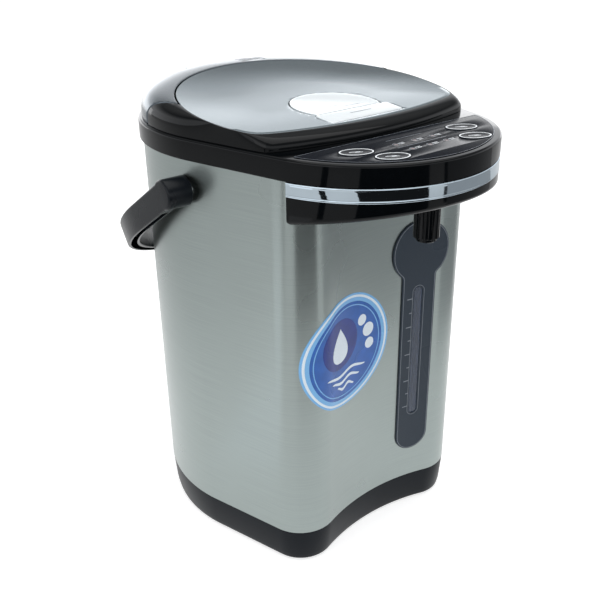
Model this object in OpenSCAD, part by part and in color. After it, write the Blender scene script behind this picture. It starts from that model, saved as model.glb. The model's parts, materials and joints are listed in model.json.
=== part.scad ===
/* [Overall] */
// Radius of the round rear of the steel body
body_r = 115; // [100:1:140]
// Height of the steel body between the base and the collar
body_h = 293; // [250:1:350]
// Height of the black base ring
base_h = 29; // [24:1:40]
// Height of the black collar above the steel body
collar_h = 15; // [13:1:20]
// Gap between the table and the lower edge of the base ring
foot_gap = 2; // [1.5:0.5:4]

/* [Plan shape] */
// Radius of the two rounded front corners of the body
lobe_r = 30; // [22:1:36]
// How far the centre of a front corner is inside the body's side
lobe_side_in = 51.5; // [45:0.5:60]
// How far the centre of a front corner is inside the body's front
lobe_front_in = 29; // [22:0.5:34]
// Radius of the hollow front between the corners
recess_r = 170; // [140:5:260]
// How far the collar stands out over the body
collar_over = 3; // [1:0.5:5]
// How much smaller the nose is than the round rear
nose_less = 20.5; // [12:0.5:28]
// How far the centre of the nose is short of the body radius
nose_back = 31.5; // [26:0.5:45]

/* [Walls] */
// Thickness of the steel body sheet
steel_t = 0.8; // [0.5:0.1:1.2]
// Thickness of the moulded covers
wall = 2.5; // [2:0.1:3.5]
// Gap between pieces that move past each other
gap = 0.3; // [0.2:0.05:0.6]

/* [Inner pot] */
// Space between the body sheet and the inner pot
jacket = 19.6; // [18:0.1:26]
// Sheet thickness of the inner pot
pot_t = 0.6; // [0.5:0.1:1]
// Height of the floor of the inner pot above the table
works_h = 80; // [76:1:100]
// Radius of the mouth in the collar
mouth_r = 72; // [64:1:76]

/* [Lid] */
// Fall of the lid top towards the front, in degrees
lid_fall = 5.4; // [3:0.1:7]
// Height of the lid top above the collar, over the middle of the body
lid_rise = 18; // [16:0.5:22]
// How far the radius of the leaf plate is short of the body radius
plate_less = 9.5; // [7:0.5:14]
// How far the centre of the leaf plate lies in front of the body's middle
plate_fwd = 35.5; // [30:0.5:40]
// Distance of the front edge of the leaf plate from the body's middle
plate_front = 97; // [90:0.5:100]
// Width of the hinge barrel on the lid
barrel_w = 66; // [66:1:80]
// Width of the arm that carries the hinge barrel
arm_w = 28; // [20:1:30]
// Radius of the hinge pin
pin_r = 1.75; // [1.5:0.05:2.2]
// Distance of the hinge pin inside the body's rear
hinge_in = 33; // [31:0.5:35]

/* [Gauge and nozzle] */
// Sideways place of the water gauge
gauge_x = 37.5; // [30:0.5:44]
// Radius of the round head of the gauge panel
gauge_head_r = 25; // [20:0.5:28]
// Width of the gauge panel's strip
gauge_w = 29.4; // [22:0.2:34]
// Width of the clear window
window_w = 7.6; // [6:0.2:10]
// Outer radius of the glass level tube
glass_r = 3.5; // [3:0.1:4]
// Outer radius of the nozzle
nozzle_r = 9.2; // [8:0.1:11]
// Distance of the nozzle in front of the body's middle
nozzle_y = 150; // [140:1:158]

/* [Handle] */
// Height of the band of the carrying handle
band_h = 20; // [16:1:26]
// Thickness of the band of the carrying handle
band_t = 10; // [8:0.5:12]
// Angle at which the handle hangs, below level
hang = 33; // [30:1:40]
// Distance of the handle pivot in front of the body's middle
pivot_y = 25; // [15:1:35]
// Radius of the handle pivot pins
pivot_r = 5; // [4:0.1:6]

/* [Buttons] */
// Half length of an oval button
button_a = 12; // [10:0.5:15]
// Half width of an oval button
button_b = 8; // [6:0.5:9]
// Travel of a button
travel = 0.8; // [0.5:0.1:1.2]

/* [Hidden] */
$fn = 96;

// colours
black = [0.05, 0.05, 0.06];
soft_black = [0.12, 0.13, 0.15];
steel = [0.66, 0.67, 0.66];
bright = [0.85, 0.87, 0.9];
leaf_grey = [0.55, 0.58, 0.6];
panel_grey = [0.24, 0.26, 0.3];
silicone = [0.85, 0.85, 0.82];
circuit = [0.1, 0.4, 0.2];

// heights
z_base = foot_gap;
z_body = foot_gap + base_h;
z_collar = z_body + body_h;
z_top = z_collar + collar_h;
z_deck = z_top - wall;
chrome_h = 10;
z_chrome = z_collar - chrome_h;

// plan of the body: a round rear, two front corners and a hollow between them
arc_step = 6;
lobe_x = body_r - lobe_side_in;
lobe_y = body_r - lobe_front_in;
lobe_turn = atan2(lobe_x, lobe_y);
body_side = lobe_turn + acos((body_r - lobe_r) / norm([lobe_x, lobe_y]));
recess_turn = asin(lobe_x / (lobe_r + recess_r));
recess_y = lobe_y + (lobe_r + recess_r) * cos(recess_turn);
recess_front = recess_y - recess_r;

// plan of the collar: the same round rear with a smaller round nose in front
collar_r = body_r + collar_over;
nose_r = collar_r - nose_less;
nose_y = body_r - nose_back;
nose_side = acos((collar_r - nose_r) / nose_y);
chin_y = lobe_y + lobe_r - 3;

// plan of the leaf plate on the lid
plate_r = body_r - plate_less;
lid_front_r = 342;
lid_front = plate_front + 12;
lid_eye = [0, -20];
lid_step = 5;

// a direction in plan, turned from the front towards +X
function dir(a) = [sin(a), -cos(a)];
function arc(c, r, from, to) =
  let (n = max(2, ceil(abs(to - from) / arc_step)))
  [for (i = [0:n]) c + r * dir(from + (to - from) * i / n)];
function body_plan(o) = concat(
  arc([lobe_x, -lobe_y], lobe_r + o, -recess_turn, body_side),
  arc([0, 0], body_r + o, body_side, 360 - body_side),
  arc([-lobe_x, -lobe_y], lobe_r + o, 360 - body_side, 360 + recess_turn),
  arc([0, -recess_y], recess_r - o, 180 + recess_turn, 180 - recess_turn));
function collar_plan(o) = concat(
  arc([0, -nose_y], nose_r + o, -nose_side, nose_side),
  arc([0, 0], collar_r + o, nose_side, 360 - nose_side));
// an outline grown by o on all sides, corner by corner
function side_normal(p, q) = let (d = (q - p) / norm(q - p)) [d[1], -d[0]];
function grown(pts, o) = [for (i = [0:len(pts) - 1])
  let (n = len(pts), a = side_normal(pts[(i + n - 1) % n], pts[i]),
    b = side_normal(pts[i], pts[(i + 1) % n]))
  pts[i] + o * (a + b) / (1 + a * b)];
function at(points, z) = [for (p = points) [p[0], p[1], z]];

// how far a line from the lid's eye runs, in direction a, to a circle or to the collar's edge
function to_circle(a, c, r) =
  let (d = lid_eye - c, u = dir(a), b = d * u)
  sqrt(b * b - d * d + r * r) - b;
function to_collar(a, o) =
  let (u = dir(a), n = [sign(u[0]) * sin(nose_side), -cos(nose_side)],
       s = (collar_r + o - lid_eye * n) / max(u * n, 0.001),
       y = lid_eye[1] + s * u[1],
       on_side = y < -cos(nose_side) * collar_r && y > -nose_y - cos(nose_side) * nose_r)
  on_side ? s : max(to_circle(a, [0, 0], collar_r + o), to_circle(a, [0, -nose_y], nose_r + o));
function to_plate(a, o) = to_circle(a, [0, -plate_fwd], plate_r + o);
function to_front(a, y) = to_circle(a, [0, lid_front_r - y], lid_front_r);
// the nearer of two distances, with the corner between them rounded
function nearer(p, q, round) = -round * ln(exp((100 - p) / round) + exp((100 - q) / round)) + 100;

// the top of the lid is a plane that falls towards the front
function plane_z(y) = z_top + lid_rise + y * tan(lid_fall);
// profile of the lid's rounded side: share of the height against share of the way in
side_profile = [[0, 0], [0.35, 0.02], [0.6, 0.09], [0.78, 0.22], [0.9, 0.42], [0.97, 0.68], [1, 1]];
function cap_ring(h, inward, skin) = [for (a = [0:lid_step:359])
  let (front = inward * plate_front + (1 - inward) * lid_front - skin,
       low = to_collar(a, -3 - skin),
       high = to_plate(a, 1 - skin),
       s = nearer(low + (high - low) * inward, to_front(a, front), 3),
       p = lid_eye + s * dir(a),
       z = z_top + gap - (skin > 0 ? 1 : 0))
  [p[0], p[1], z + (plane_z(p[1]) - skin * 1.6 - z) * h]];

// solids from rings of points: closed by end faces, or turned back on itself as a tube wall
function ring_faces(n, k, wrap) = [for (j = [0:k - (wrap ? 1 : 2)]) for (i = [0:n - 1])
  let (i2 = (i + 1) % n, j2 = (j + 1) % k) each
  [[j * n + i, j2 * n + i, j2 * n + i2], [j * n + i, j2 * n + i2, j * n + i2]]];
module loft(rings) {
  n = len(rings[0]);
  k = len(rings);
  caps = [[for (i = [0:n - 1]) i], [for (i = [n - 1:-1:0]) (k - 1) * n + i]];
  polyhedron([for (r = rings) each r], concat(ring_faces(n, k, false), caps));
}
module wall_loft(rings) {
  n = len(rings[0]);
  k = len(rings);
  polyhedron([for (r = rings) each r], ring_faces(n, k, true));
}

// a pipe along a curve that four points shape
function curve(p, t) = pow(1 - t, 3) * p[0] + 3 * t * pow(1 - t, 2) * p[1]
  + 3 * t * t * (1 - t) * p[2] + pow(t, 3) * p[3];
function slope(p, t) = 3 * pow(1 - t, 2) * (p[1] - p[0]) + 6 * t * (1 - t) * (p[2] - p[1])
  + 3 * t * t * (p[3] - p[2]);
function pipe_ring(p, t, r, side, on = 0) =
  let (f = slope(p, t) / norm(slope(p, t)), u = cross(f, side) / norm(cross(f, side)), v = cross(f, u))
  [for (a = [0:30:359]) curve(p, t) + on * f + r * (cos(a) * u + sin(a) * v)];
function pipe_rings(p, r, side, steps, before, after) = concat([pipe_ring(p, 0, r, side, -before)],
  [for (i = [0:steps]) pipe_ring(p, i / steps, r, side)], [pipe_ring(p, 1, r, side, after)]);
// straight before the curve and after it; the bore's flats touch a round tube of its radius
module pipe(p, outer, inner, side, before, after, steps = 12) {
  inside = pipe_rings(p, inner / cos(15), side, steps, before, after);
  wall_loft(concat(pipe_rings(p, outer / cos(15), side, steps, before, after),
    [for (i = [len(inside) - 1:-1:0]) inside[i]]));
}

module plan(points, z0, z1) {
  translate([0, 0, z0]) linear_extrude(z1 - z0) polygon(points);
}
module plan_wall(outer, inner, z0, z1) {
  translate([0, 0, z0]) linear_extrude(z1 - z0) difference() {
    polygon(outer);
    polygon(inner);
  }
}
module ring(r0, r1, z0, z1) {
  translate([0, 0, z0]) difference() {
    cylinder(r = r1, h = z1 - z0);
    translate([0, 0, -1]) cylinder(r = r0, h = z1 - z0 + 2);
  }
}
module block(x0, x1, y0, y1, z0, z1) {
  translate([x0, y0, z0]) cube([x1 - x0, y1 - y0, z1 - z0]);
}
module along_x(x0, x1, r) {
  translate([x0, 0, 0]) rotate([0, 90, 0]) cylinder(r = r, h = x1 - x0);
}
module both_sides() {
  children();
  mirror([1, 0, 0]) children();
}

// ---- turntable under the pot ----
disc_r = body_r - 29;
pad_h = 2;
disc_t = 3;
track_r = disc_r - 16;
z_cover = 9;
cover_t = 2.5;
spindle_r = 4;
pad_turns = [45:90:315];
module swivel_disc() {
  color(soft_black) difference() {
    union() {
      translate([0, 0, pad_h]) cylinder(r = disc_r, h = disc_t);
      ring(track_r - 4, track_r + 4, pad_h + disc_t, pad_h + disc_t + 2);
      translate([0, 0, pad_h]) cylinder(r = 14, h = z_cover - gap - pad_h);
    }
    translate([0, 0, pad_h - 1]) cylinder(r = spindle_r, h = 20);
    translate([0, 0, pad_h - 1]) cylinder(r = 9, h = 2);
  }
}
module rubber_pads() {
  color(soft_black) for (a = pad_turns)
    rotate([0, 0, a]) translate([track_r, 0, 0]) cylinder(r = 9, h = pad_h);
  color(soft_black) cylinder(r = 9, h = pad_h - 1);
}
module swivel_glides() {
  color(silicone) for (a = [0:60:300])
    rotate([0, 0, a]) translate([track_r, 0, pad_h + disc_t + 2])
      cylinder(r = 3.5, h = z_cover - gap - pad_h - disc_t - 2);
}
module swivel_pin() {
  color(bright) {
    translate([0, 0, pad_h - 1]) cylinder(r = 9, h = 2);
    translate([0, 0, pad_h]) cylinder(r = spindle_r, h = z_cover + cover_t + 4 - pad_h);
  }
}
module swivel_nut() {
  color(bright) ring(spindle_r, 7.5, z_cover + cover_t + gap, z_cover + cover_t + 3.5);
}

// ---- base ----
screw_r = 1.6;
screw_spots = [[lobe_x, -lobe_y + 8], [-lobe_x, -lobe_y + 8], [body_r * 0.62, body_r * 0.62],
  [-body_r * 0.62, body_r * 0.62]];
ledge_in = 14;
module bottom_cover() {
  color(soft_black) difference() {
    plan(body_plan(-base_draft - 0.6), z_cover, z_cover + cover_t);
    translate([0, 0, z_cover - 1]) cylinder(r = spindle_r + 0.08, h = 5);
    for (p = screw_spots) translate([p[0], p[1], z_cover - 1]) cylinder(r = screw_r, h = 5);
    for (i = [-3:3]) block(-24, 24, body_r - 52 + i * 6, body_r - 49 + i * 6, z_cover - 1, z_cover + 5);
  }
}
base_draft = 3;
module base_ring() {
  color(soft_black) difference() {
    wall_loft([at(body_plan(-base_draft), z_base), at(body_plan(-0.6 * base_draft), z_base + 6),
      at(body_plan(0), z_body), at(body_plan(-steel_t), z_body), at(body_plan(-steel_t), z_body + 6),
      at(body_plan(-wall), z_body + 6), at(body_plan(-wall), z_body),
      at(body_plan(-wall - 0.2), z_cover + cover_t + wall),
      at(body_plan(-ledge_in), z_cover + cover_t + wall),
      at(body_plan(-ledge_in), z_cover + cover_t), at(body_plan(-wall - 0.2), z_cover + cover_t),
      at(body_plan(-base_draft - 2), z_base)]);
    for (p = screw_spots) translate([p[0], p[1], 0]) cylinder(r = screw_r, h = 30);
  }
}
module base_screws() {
  color(bright) for (p = screw_spots) translate([p[0], p[1], z_cover - 1.6]) {
    cylinder(r = 3.4, h = 1.6);
    cylinder(r = screw_r, h = 8);
  }
}

// ---- body sheet and what shows on it ----
z_pivot = z_collar - 22;
head_z = z_collar - 81.5;
foot_z = z_body + 28.6;
window_z0 = foot_z + 36;
window_z1 = head_z - 30.5;
inlet_z = z_body + 19;
inlet_w = 36;
inlet_h = 26;
spout_door = 40;
module front_prism(r0) {
  rotate([90, 0, 0]) linear_extrude(200) children();
}
module window_shape(o) {
  w = window_w / 2 + o;
  translate([gauge_x - w, window_z0 + window_w / 2]) square([2 * w, window_z1 - window_z0 - window_w]);
  for (z = [window_z0 + window_w / 2, window_z1 - window_w / 2])
    translate([gauge_x, z]) circle(r = w);
}
module keyhole_shape() {
  translate([gauge_x - gauge_w / 2, foot_z + gauge_w / 2]) square([gauge_w, head_z - foot_z - gauge_w / 2]);
  translate([gauge_x, foot_z + gauge_w / 2]) circle(d = gauge_w);
  translate([gauge_x, head_z]) circle(r = gauge_head_r);
}
module body_shell() {
  color(steel) difference() {
    plan_wall(body_plan(0), body_plan(-steel_t), z_body, z_collar);
    front_prism() window_shape(-0.4);
    block(-spout_door, spout_door + 8, -body_r - 20, -body_r / 2, z_collar - 28, z_collar + 1);
    block(-inlet_w / 2, inlet_w / 2, body_r / 2, body_r + 20, inlet_z - inlet_h / 2, inlet_z + inlet_h / 2);
    translate([0, -pivot_y, z_pivot]) along_x(-body_r - 20, body_r + 20, pivot_r + 0.3);
  }
}
panel_t = 1.5;
module gauge_panel() {
  color(panel_grey) difference() {
    intersection() {
      plan_wall(body_plan(panel_t), body_plan(0), foot_z - 5, head_z + 40);
      front_prism() keyhole_shape();
    }
    front_prism() window_shape(0);
  }
}
module gauge_window() {
  color([0.75, 0.8, 0.85]) intersection() {
    plan_wall(body_plan(panel_t - 0.3), body_plan(0), foot_z, head_z);
    front_prism() window_shape(-0.1);
  }
}
label_x = -36;
label_z = z_body + 149;
label_r = 46;
module front_label() {
  color([0.16, 0.38, 0.75]) intersection() {
    plan_wall(body_plan(0.25), body_plan(0), label_z - 80, label_z + 80);
    front_prism() translate([label_x, label_z]) circle(r = label_r);
  }
}

// ---- inner pot and heating ----
pot_r = body_r - jacket;
neck_r = mouth_r + 1;
rim_r = neck_r + 3;
z_rim = z_deck - 4.5;
module inner_pot() {
  color(bright) {
    difference() {
      rotate_extrude() polygon([
        [0, works_h], [pot_r + pot_t, works_h], [pot_r + pot_t, z_rim - 15],
        [neck_r + pot_t, z_rim - 6], [neck_r + pot_t, z_rim - pot_t], [rim_r, z_rim - pot_t],
        [rim_r, z_rim], [neck_r, z_rim], [neck_r, z_rim - 6], [pot_r, z_rim - 15],
        [pot_r, works_h + pot_t], [0, works_h + pot_t]]);
      translate([outlet_x, outlet_y, works_h - 1]) cylinder(r = stub_r - 1, h = 3);
    }
    translate([outlet_x, outlet_y, 0]) ring(stub_r - 1, stub_r, works_h - 10, works_h);
  }
}
module rim_seal() {
  color(silicone) ring(mouth_r, rim_r, z_rim, z_rim + 1);
}
shield_gap = 6;
module heat_shield() {
  color(bright) ring(pot_r + shield_gap, pot_r + shield_gap + pot_t, works_h - 12, z_collar - 3);
}
module band_heater() {
  color([0.7, 0.6, 0.4]) ring(pot_r + pot_t, pot_r + pot_t + 2.4, works_h + 18, works_h + 52);
}
outlet_x = -10;
outlet_y = -35;
heater_t = 5;
module heating_plate() {
  color([0.6, 0.6, 0.62]) difference() {
    union() {
      translate([0, 0, works_h - heater_t]) cylinder(r = pot_r - 18, h = heater_t);
      ring(pot_r - 34, pot_r - 24, works_h - heater_t - 5, works_h - heater_t);
    }
    translate([outlet_x, outlet_y, 0]) cylinder(r = 7.5, h = works_h + 1);
  }
}
module thermostats() {
  color([0.85, 0.83, 0.75]) for (p = [[28, 18], [0, 30], [-28, 18]])
    translate([p[0], p[1], works_h - heater_t - 8]) {
      cylinder(r = 8, h = 8);
      translate([0, 0, -4]) cylinder(r = 5, h = 4);
    }
}

// ---- pump ----
pump_r = 24;
pump_z0 = 44;
pump_z1 = 58;
shaft_r = 1.5;
stub_r = 6;
outlet_r = 3.5;
hose_t = 1.5;
outlet_off = 16;
module pump_housing() {
  color(silicone) translate([outlet_x, outlet_y, 0]) {
    difference() {
      union() {
        translate([0, 0, pump_z0]) cylinder(r = pump_r, h = pump_z1 - pump_z0);
        translate([0, 0, pump_z1]) cylinder(r = stub_r, h = 8);
        translate([outlet_off, 0, (pump_z0 + pump_z1) / 2]) rotate([90, 0, 0])
          cylinder(r = outlet_r, h = 42);
      }
      translate([0, 0, pump_z0 + 2]) cylinder(r = pump_r - 2, h = pump_z1 - pump_z0 - 4);
      translate([0, 0, pump_z1 - 3]) cylinder(r = stub_r - 1.2, h = 20);
      translate([0, 0, pump_z0 - 1]) cylinder(r = shaft_r + 0.05, h = 10);
      translate([outlet_off, 0, (pump_z0 + pump_z1) / 2]) rotate([90, 0, 0])
        cylinder(r = outlet_r - 1.2, h = 50);
    }
  }
}
module impeller() {
  color([0.9, 0.9, 0.9]) translate([outlet_x, outlet_y, 0]) {
    translate([0, 0, pump_z0 + 3]) cylinder(r = 17, h = 1.5);
    translate([0, 0, pump_z0 + 3]) cylinder(r = 4, h = 7);
    translate([0, 0, pump_z0 - 14]) cylinder(r = shaft_r, h = 18);
    for (a = [0:60:300]) rotate([0, 0, a]) translate([3.5, -0.6, pump_z0 + 4]) cube([13, 1.2, 5]);
  }
}
module pump_motor() {
  color(bright) translate([outlet_x, outlet_y, 0]) difference() {
    union() {
      translate([0, 0, z_cover + cover_t]) cylinder(r = 17, h = pump_z0 - z_cover - cover_t - 3);
      translate([0, 0, pump_z0 - 3]) cylinder(r = 21, h = 3);
    }
    translate([0, 0, pump_z0 - 15]) cylinder(r = shaft_r + 0.05, h = 20);
    translate([0, 0, pump_z0 - 30]) cylinder(r = 4, h = 14);
  }
}
module suction_sleeve() {
  color(silicone) translate([outlet_x, outlet_y, 0]) ring(stub_r, stub_r + 1.4, pump_z1 + 1, works_h - 0.5);
}
outlet_mid = (pump_z0 + pump_z1) / 2;
tube_y = recess_y - sqrt(pow(recess_r + steel_t + glass_r + hose_t + 0.4, 2) - pow(gauge_x, 2));
hose_start = [outlet_x + outlet_off, outlet_y - 42, outlet_mid];
module delivery_hose() {
  color(silicone) {
    pipe([hose_start, hose_start + [0, -20, 0], [gauge_x, -tube_y, outlet_mid], [gauge_x, -tube_y, tube_z0]],
      outlet_r + hose_t, outlet_r, [1, 0.3, 0.1], 10, 12);
  }
}
tube_z0 = works_h;
tube_z1 = head_z - 16;
module gauge_tube() {
  color([0.8, 0.88, 0.9]) translate([gauge_x, -tube_y, 0]) ring(glass_r - 1, glass_r, tube_z0, tube_z1);
}
pipe_r = 3.2;
pipe_z = z_collar - 14;
module upper_sleeve() {
  color(silicone) translate([gauge_x, -tube_y, 0]) {
    ring(glass_r, glass_r + hose_t, tube_z1 - 10, tube_z1);
    ring(pipe_r, glass_r + hose_t, tube_z1, tube_z1 + 10);
  }
}
module spout_pipe() {
  start = [gauge_x, -tube_y, pipe_z - 28];
  color(silicone) {
    pipe([start, start + [0, 0, 36], [0, -nozzle_y, pipe_z + 28], [0, -nozzle_y, pipe_z]],
      pipe_r - 0.1, pipe_r - 1, [0.78, 0.62, 0.05], pipe_z - 28 - tube_z1, 10, 16);
  }
}

// ---- nose ----
chin_low = z_collar - 28;
chin_rise = 10;
nozzle_z0 = z_collar - 49;
lip_z0 = nozzle_z0 - 2.5;
module above_chin_line(up) {
  translate([0, -chin_y - 7, chin_low + up]) rotate([-chin_rise, 0, 0])
    translate([-300, -300, 0]) cube([600, 600, 200]);
}
module chin() {
  color(black) {
    difference() {
      intersection() {
        plan(collar_plan(0), chin_low - 20, z_chrome);
        above_chin_line(0);
        block(-200, 200, -300, -chin_y, 0, z_chrome);
      }
      intersection() {
        plan(collar_plan(-wall), chin_low - 20, z_chrome + 1);
        above_chin_line(wall);
        block(-200, 200, -300, -chin_y - wall, 0, z_collar);
      }
      plan(body_plan(gap / 2), chin_low - 30, z_collar);
      translate([0, -nozzle_y, chin_low - 20]) cylinder(r = nozzle_r + 0.1, h = 60);
      // the spout pipe comes through the rear wall
      block(4, spout_door + 4, -chin_y - wall - 1, -chin_y + 1, z_collar - 22, z_chrome + 1);
    }
    intersection() {
      plan_wall(collar_plan(-1.6), collar_plan(-wall), z_chrome - 0.01, z_collar);
      block(-200, 200, -300, -chin_y, 0, z_collar);
    }
  }
}
module chrome_strip() {
  color(bright) intersection() {
    plan_wall(collar_plan(0.4), collar_plan(-1.5), z_chrome + 0.1, z_collar - 0.1);
    block(-200, 200, -300, -chin_y, 0, z_collar);
  }
}
flutes = 18;
module nozzle() {
  color(black) translate([0, -nozzle_y, 0]) difference() {
    union() {
      translate([0, 0, nozzle_z0]) cylinder(r = nozzle_r, h = pipe_z - 2 - nozzle_z0);
      translate([0, 0, lip_z0]) cylinder(r = nozzle_r - 2, h = 4);
    }
    for (i = [0:flutes - 1]) rotate([0, 0, i * 360 / flutes])
      translate([nozzle_r + 0.35, 0, nozzle_z0 - 1]) cylinder(r = 0.9, h = 26);
    translate([0, 0, lip_z0 - 1]) cylinder(r = pipe_r + 1.5, h = 14);
    translate([0, 0, lip_z0 + 12]) cylinder(r = pipe_r, h = 60);
  }
}

// ---- collar with the control panel ----
button_turn = -25;
button_spots = [[-50, -132], [-39, -154], [50, -132], [39, -154]];
lamp_spots = [for (i = [-1:1]) each [[i * 17.5, -135], [i * 16, -149]]];
panel_back = lid_front + 4;
function oval(a, b) = [for (t = [0:10:359]) [a * cos(t), b * sin(t)]];
module button_hole(p, o, z0, z1) {
  translate([p[0], p[1], 0]) rotate([0, 0, button_turn]) plan(oval(button_a + o, button_b + o), z0, z1);
}
hook_w = 16;
hook_front = 104.5;
module collar() {
  color(black) difference() {
    union() {
      difference() {
        loft([at(collar_plan(0), z_collar), at(collar_plan(0), z_top - 4),
          at(collar_plan(-0.4), z_top - 2.4), at(collar_plan(-1.4), z_top - 0.9),
          at(collar_plan(-2.6), z_top - 0.2), at(collar_plan(-4), z_top)]);
        plan(collar_plan(-wall), z_collar - 1, z_deck);
      }
      ring(mouth_r, mouth_r + wall, z_rim + 1, z_deck);
      both_sides() block(pot_r + shield_gap + pot_t + 0.3, pot_r + shield_gap + 5, -pivot_y - 12,
        -pivot_y + 12, z_collar, z_deck);
      plan_wall(body_plan(-steel_t), body_plan(-steel_t - 1.6), z_collar - 5, z_collar);
      intersection() {
        plan_wall(collar_plan(-1), body_plan(-steel_t - 1.6), z_collar, z_collar + 1.6);
        block(-200, 200, -chin_y, 200, 0, z_top);
      }
    }
    translate([0, 0, z_rim]) cylinder(r = mouth_r, h = 30);
    block(-hook_w / 2 - 1, hook_w / 2 + 1, -hook_front - 1, latch_y - 2.5, z_deck - 1, z_top + 1);
    for (p = button_spots) button_hole(p, 0.3, z_deck - 1, z_top + 1);
    for (p = lamp_spots) translate([p[0], p[1], z_deck - 1]) cylinder(r = 1.6, h = 5);
    block(-spout_door, spout_door + 8, -body_r - 20, -body_r / 2, z_collar - 30, z_collar);
  }
}
overlay_t = 0.5;
module control_panel() {
  color(panel_grey) difference() {
    intersection() {
      plan(collar_plan(-7), z_top, z_top + overlay_t);
      block(-200, 200, -300, -panel_back, 0, 900);
    }
    for (p = button_spots) button_hole(p, 0.3, z_top - 1, z_top + 2);
    for (p = lamp_spots) translate([p[0], p[1], z_top - 1]) cylinder(r = 1.6, h = 5);
  }
}
module button(i) {
  color(panel_grey) {
    button_hole(button_spots[i], 0, z_deck - 0.5, z_top + overlay_t + 0.4);
    button_hole(button_spots[i], 1.2, z_deck - 1.5, z_deck - gap);
  }
}
module button_1() { button(0); }
module button_2() { button(1); }
module button_3() { button(2); }
module button_4() { button(3); }
board_z = z_deck - 6.4;
board_t = 1.6;
module circuit_board() {
  color(circuit) difference() {
    intersection() {
      plan(collar_plan(-9), board_z, board_z + board_t);
      block(-200, 200, -300, -panel_back - 6, 0, 900);
    }
    translate([0, -nozzle_y, board_z - 1]) cylinder(r = 5, h = 4);
  }
  color(soft_black) for (p = button_spots) translate([p[0], p[1], board_z + board_t]) {
    translate([-3, -3, 0]) cube([6, 6, 1.8]);
    translate([0, 0, 1.8]) cylinder(r = 1.7, h = 0.6);
  }
  color(bright) for (x = [-72, 72]) translate([x, -122, board_z + board_t])
    cylinder(r = 3, h = z_deck - board_z - board_t);
}
module indicator_lights() {
  color([0.9, 0.4, 0.3]) for (p = lamp_spots) translate([p[0], p[1], board_z + board_t])
    cylinder(r = 1.5, h = z_top + overlay_t - board_z - board_t - 0.1);
}

// ---- electrics ----
module power_board() {
  color(circuit) block(-84, -34, 8, 58, z_cover + 9, z_cover + 10.6);
  color([0.75, 0.6, 0.2]) block(-78, -52, 14, 40, z_cover + 10.6, z_cover + 34);
  color(soft_black) block(-48, -38, 14, 52, z_cover + 10.6, z_cover + 24);
  color(bright) for (x = [-80, -38]) for (y = [12, 54])
    translate([x, y, z_cover + cover_t]) cylinder(r = 2.5, h = 9 - cover_t);
}
socket_d = 18;
module inlet_socket() {
  color(soft_black) difference() {
    union() {
      intersection() {
        block(-inlet_w / 2, inlet_w / 2, body_r - socket_d - 4, body_r + 3, inlet_z - inlet_h / 2,
          inlet_z + inlet_h / 2);
        cylinder(r = body_r + 1.2, h = 400);
      }
      intersection() {
        block(-inlet_w / 2 - 3, inlet_w / 2 + 3, body_r - 12, body_r + 3, inlet_z - inlet_h / 2 - 3,
          inlet_z + inlet_h / 2 + 3);
        ring(body_r + 0.02, body_r + 1.6, 0, 400);
      }
    }
    block(-inlet_w / 2 + 4, inlet_w / 2 - 4, body_r - socket_d, body_r + 9, inlet_z - inlet_h / 2 + 4,
      inlet_z + inlet_h / 2 - 4);
  }
}
module inlet_pins() {
  color(bright) for (p = [[-8, -3], [8, -3], [0, 4]])
    translate([p[0], body_r - 3, inlet_z + p[1]]) rotate([90, 0, 0]) cylinder(r = 1.6, h = socket_d - 3);
}

// ---- carrying handle ----
hub_r = 11;
hub_x0 = sqrt(pow(body_r, 2) - pow(pivot_y - hub_r, 2)) + 0.4;
arm_x0 = body_r + 9;
arm_x1 = arm_x0 + band_t;
bow_y = 50.6;
bracket_x0 = sqrt(pow(pot_r + shield_gap + pot_t, 2) - pow(pivot_y - 11, 2)) + 0.3;
bracket_x1 = body_r - 8.4;
module at_pivot() {
  translate([0, -pivot_y, z_pivot]) children();
}
module handle_brackets() {
  color(bright) both_sides() difference() {
    block(bracket_x0, bracket_x1, -pivot_y - 11, -pivot_y + 11, z_pivot - 14, z_collar);
    at_pivot() along_x(0, 200, pivot_r);
  }
}
module handle_pins() {
  color(bright) both_sides() at_pivot() along_x(bracket_x0, arm_x0 + 1, pivot_r);
}
module bow(o, z0, z1) {
  translate([0, 0, z0]) linear_extrude(z1 - z0) difference() {
    union() {
      translate([0, bow_y]) circle(r = arm_x1 - o);
      translate([-arm_x1 + o, 0]) square([2 * (arm_x1 - o), bow_y]);
    }
    translate([0, bow_y]) circle(r = arm_x0 + o);
    translate([-arm_x0 - o, -1]) square([2 * (arm_x0 + o), bow_y + 1]);
    translate([-200, -200]) square([400, 200]);
  }
}
module handle() {
  color(soft_black) at_pivot() rotate([-hang, 0, 0]) difference() {
    union() {
      difference() {
        bow(0, -band_h / 2, band_h / 2);
        intersection() {
          bow(2.4, -band_h / 2 - 1, band_h / 2 - 3);
          block(-200, 200, 16, 400, -50, 50);
        }
      }
      both_sides() along_x(hub_x0, arm_x1, hub_r);
    }
    both_sides() along_x(0, arm_x0 + 1.5, pivot_r + 0.06);
  }
}

// ---- rear shoulder and lid ----
hinge_y = body_r - hinge_in;
hinge_z = plane_z(hinge_y) - 9.5;
knuckle_r = 3.6;
neck_low = 15.4;
arm_t = 2.4;
seam = 1.5;
horn_y = -5;
horn_x = sqrt(pow(plate_r, 2) - pow(horn_y + plate_fwd, 2));
horn_back = 27;
module cap(skin) {
  loft([for (s = side_profile) cap_ring(s[0], s[1], skin)]);
}
// plan of what lifts with the lid: all in front of the seams, with a round rear end
function lid_part(o) = let (turn = atan2(horn_x, -(horn_y + plate_fwd))) grown(concat(
  [[-160, -160], [160, -160], [160, horn_back + 14], [collar_r - 5, horn_back]],
  arc([0, -plate_fwd], plate_r, turn, 360 - turn),
  [[-collar_r + 5, horn_back], [-160, horn_back + 14]]), o);
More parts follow.
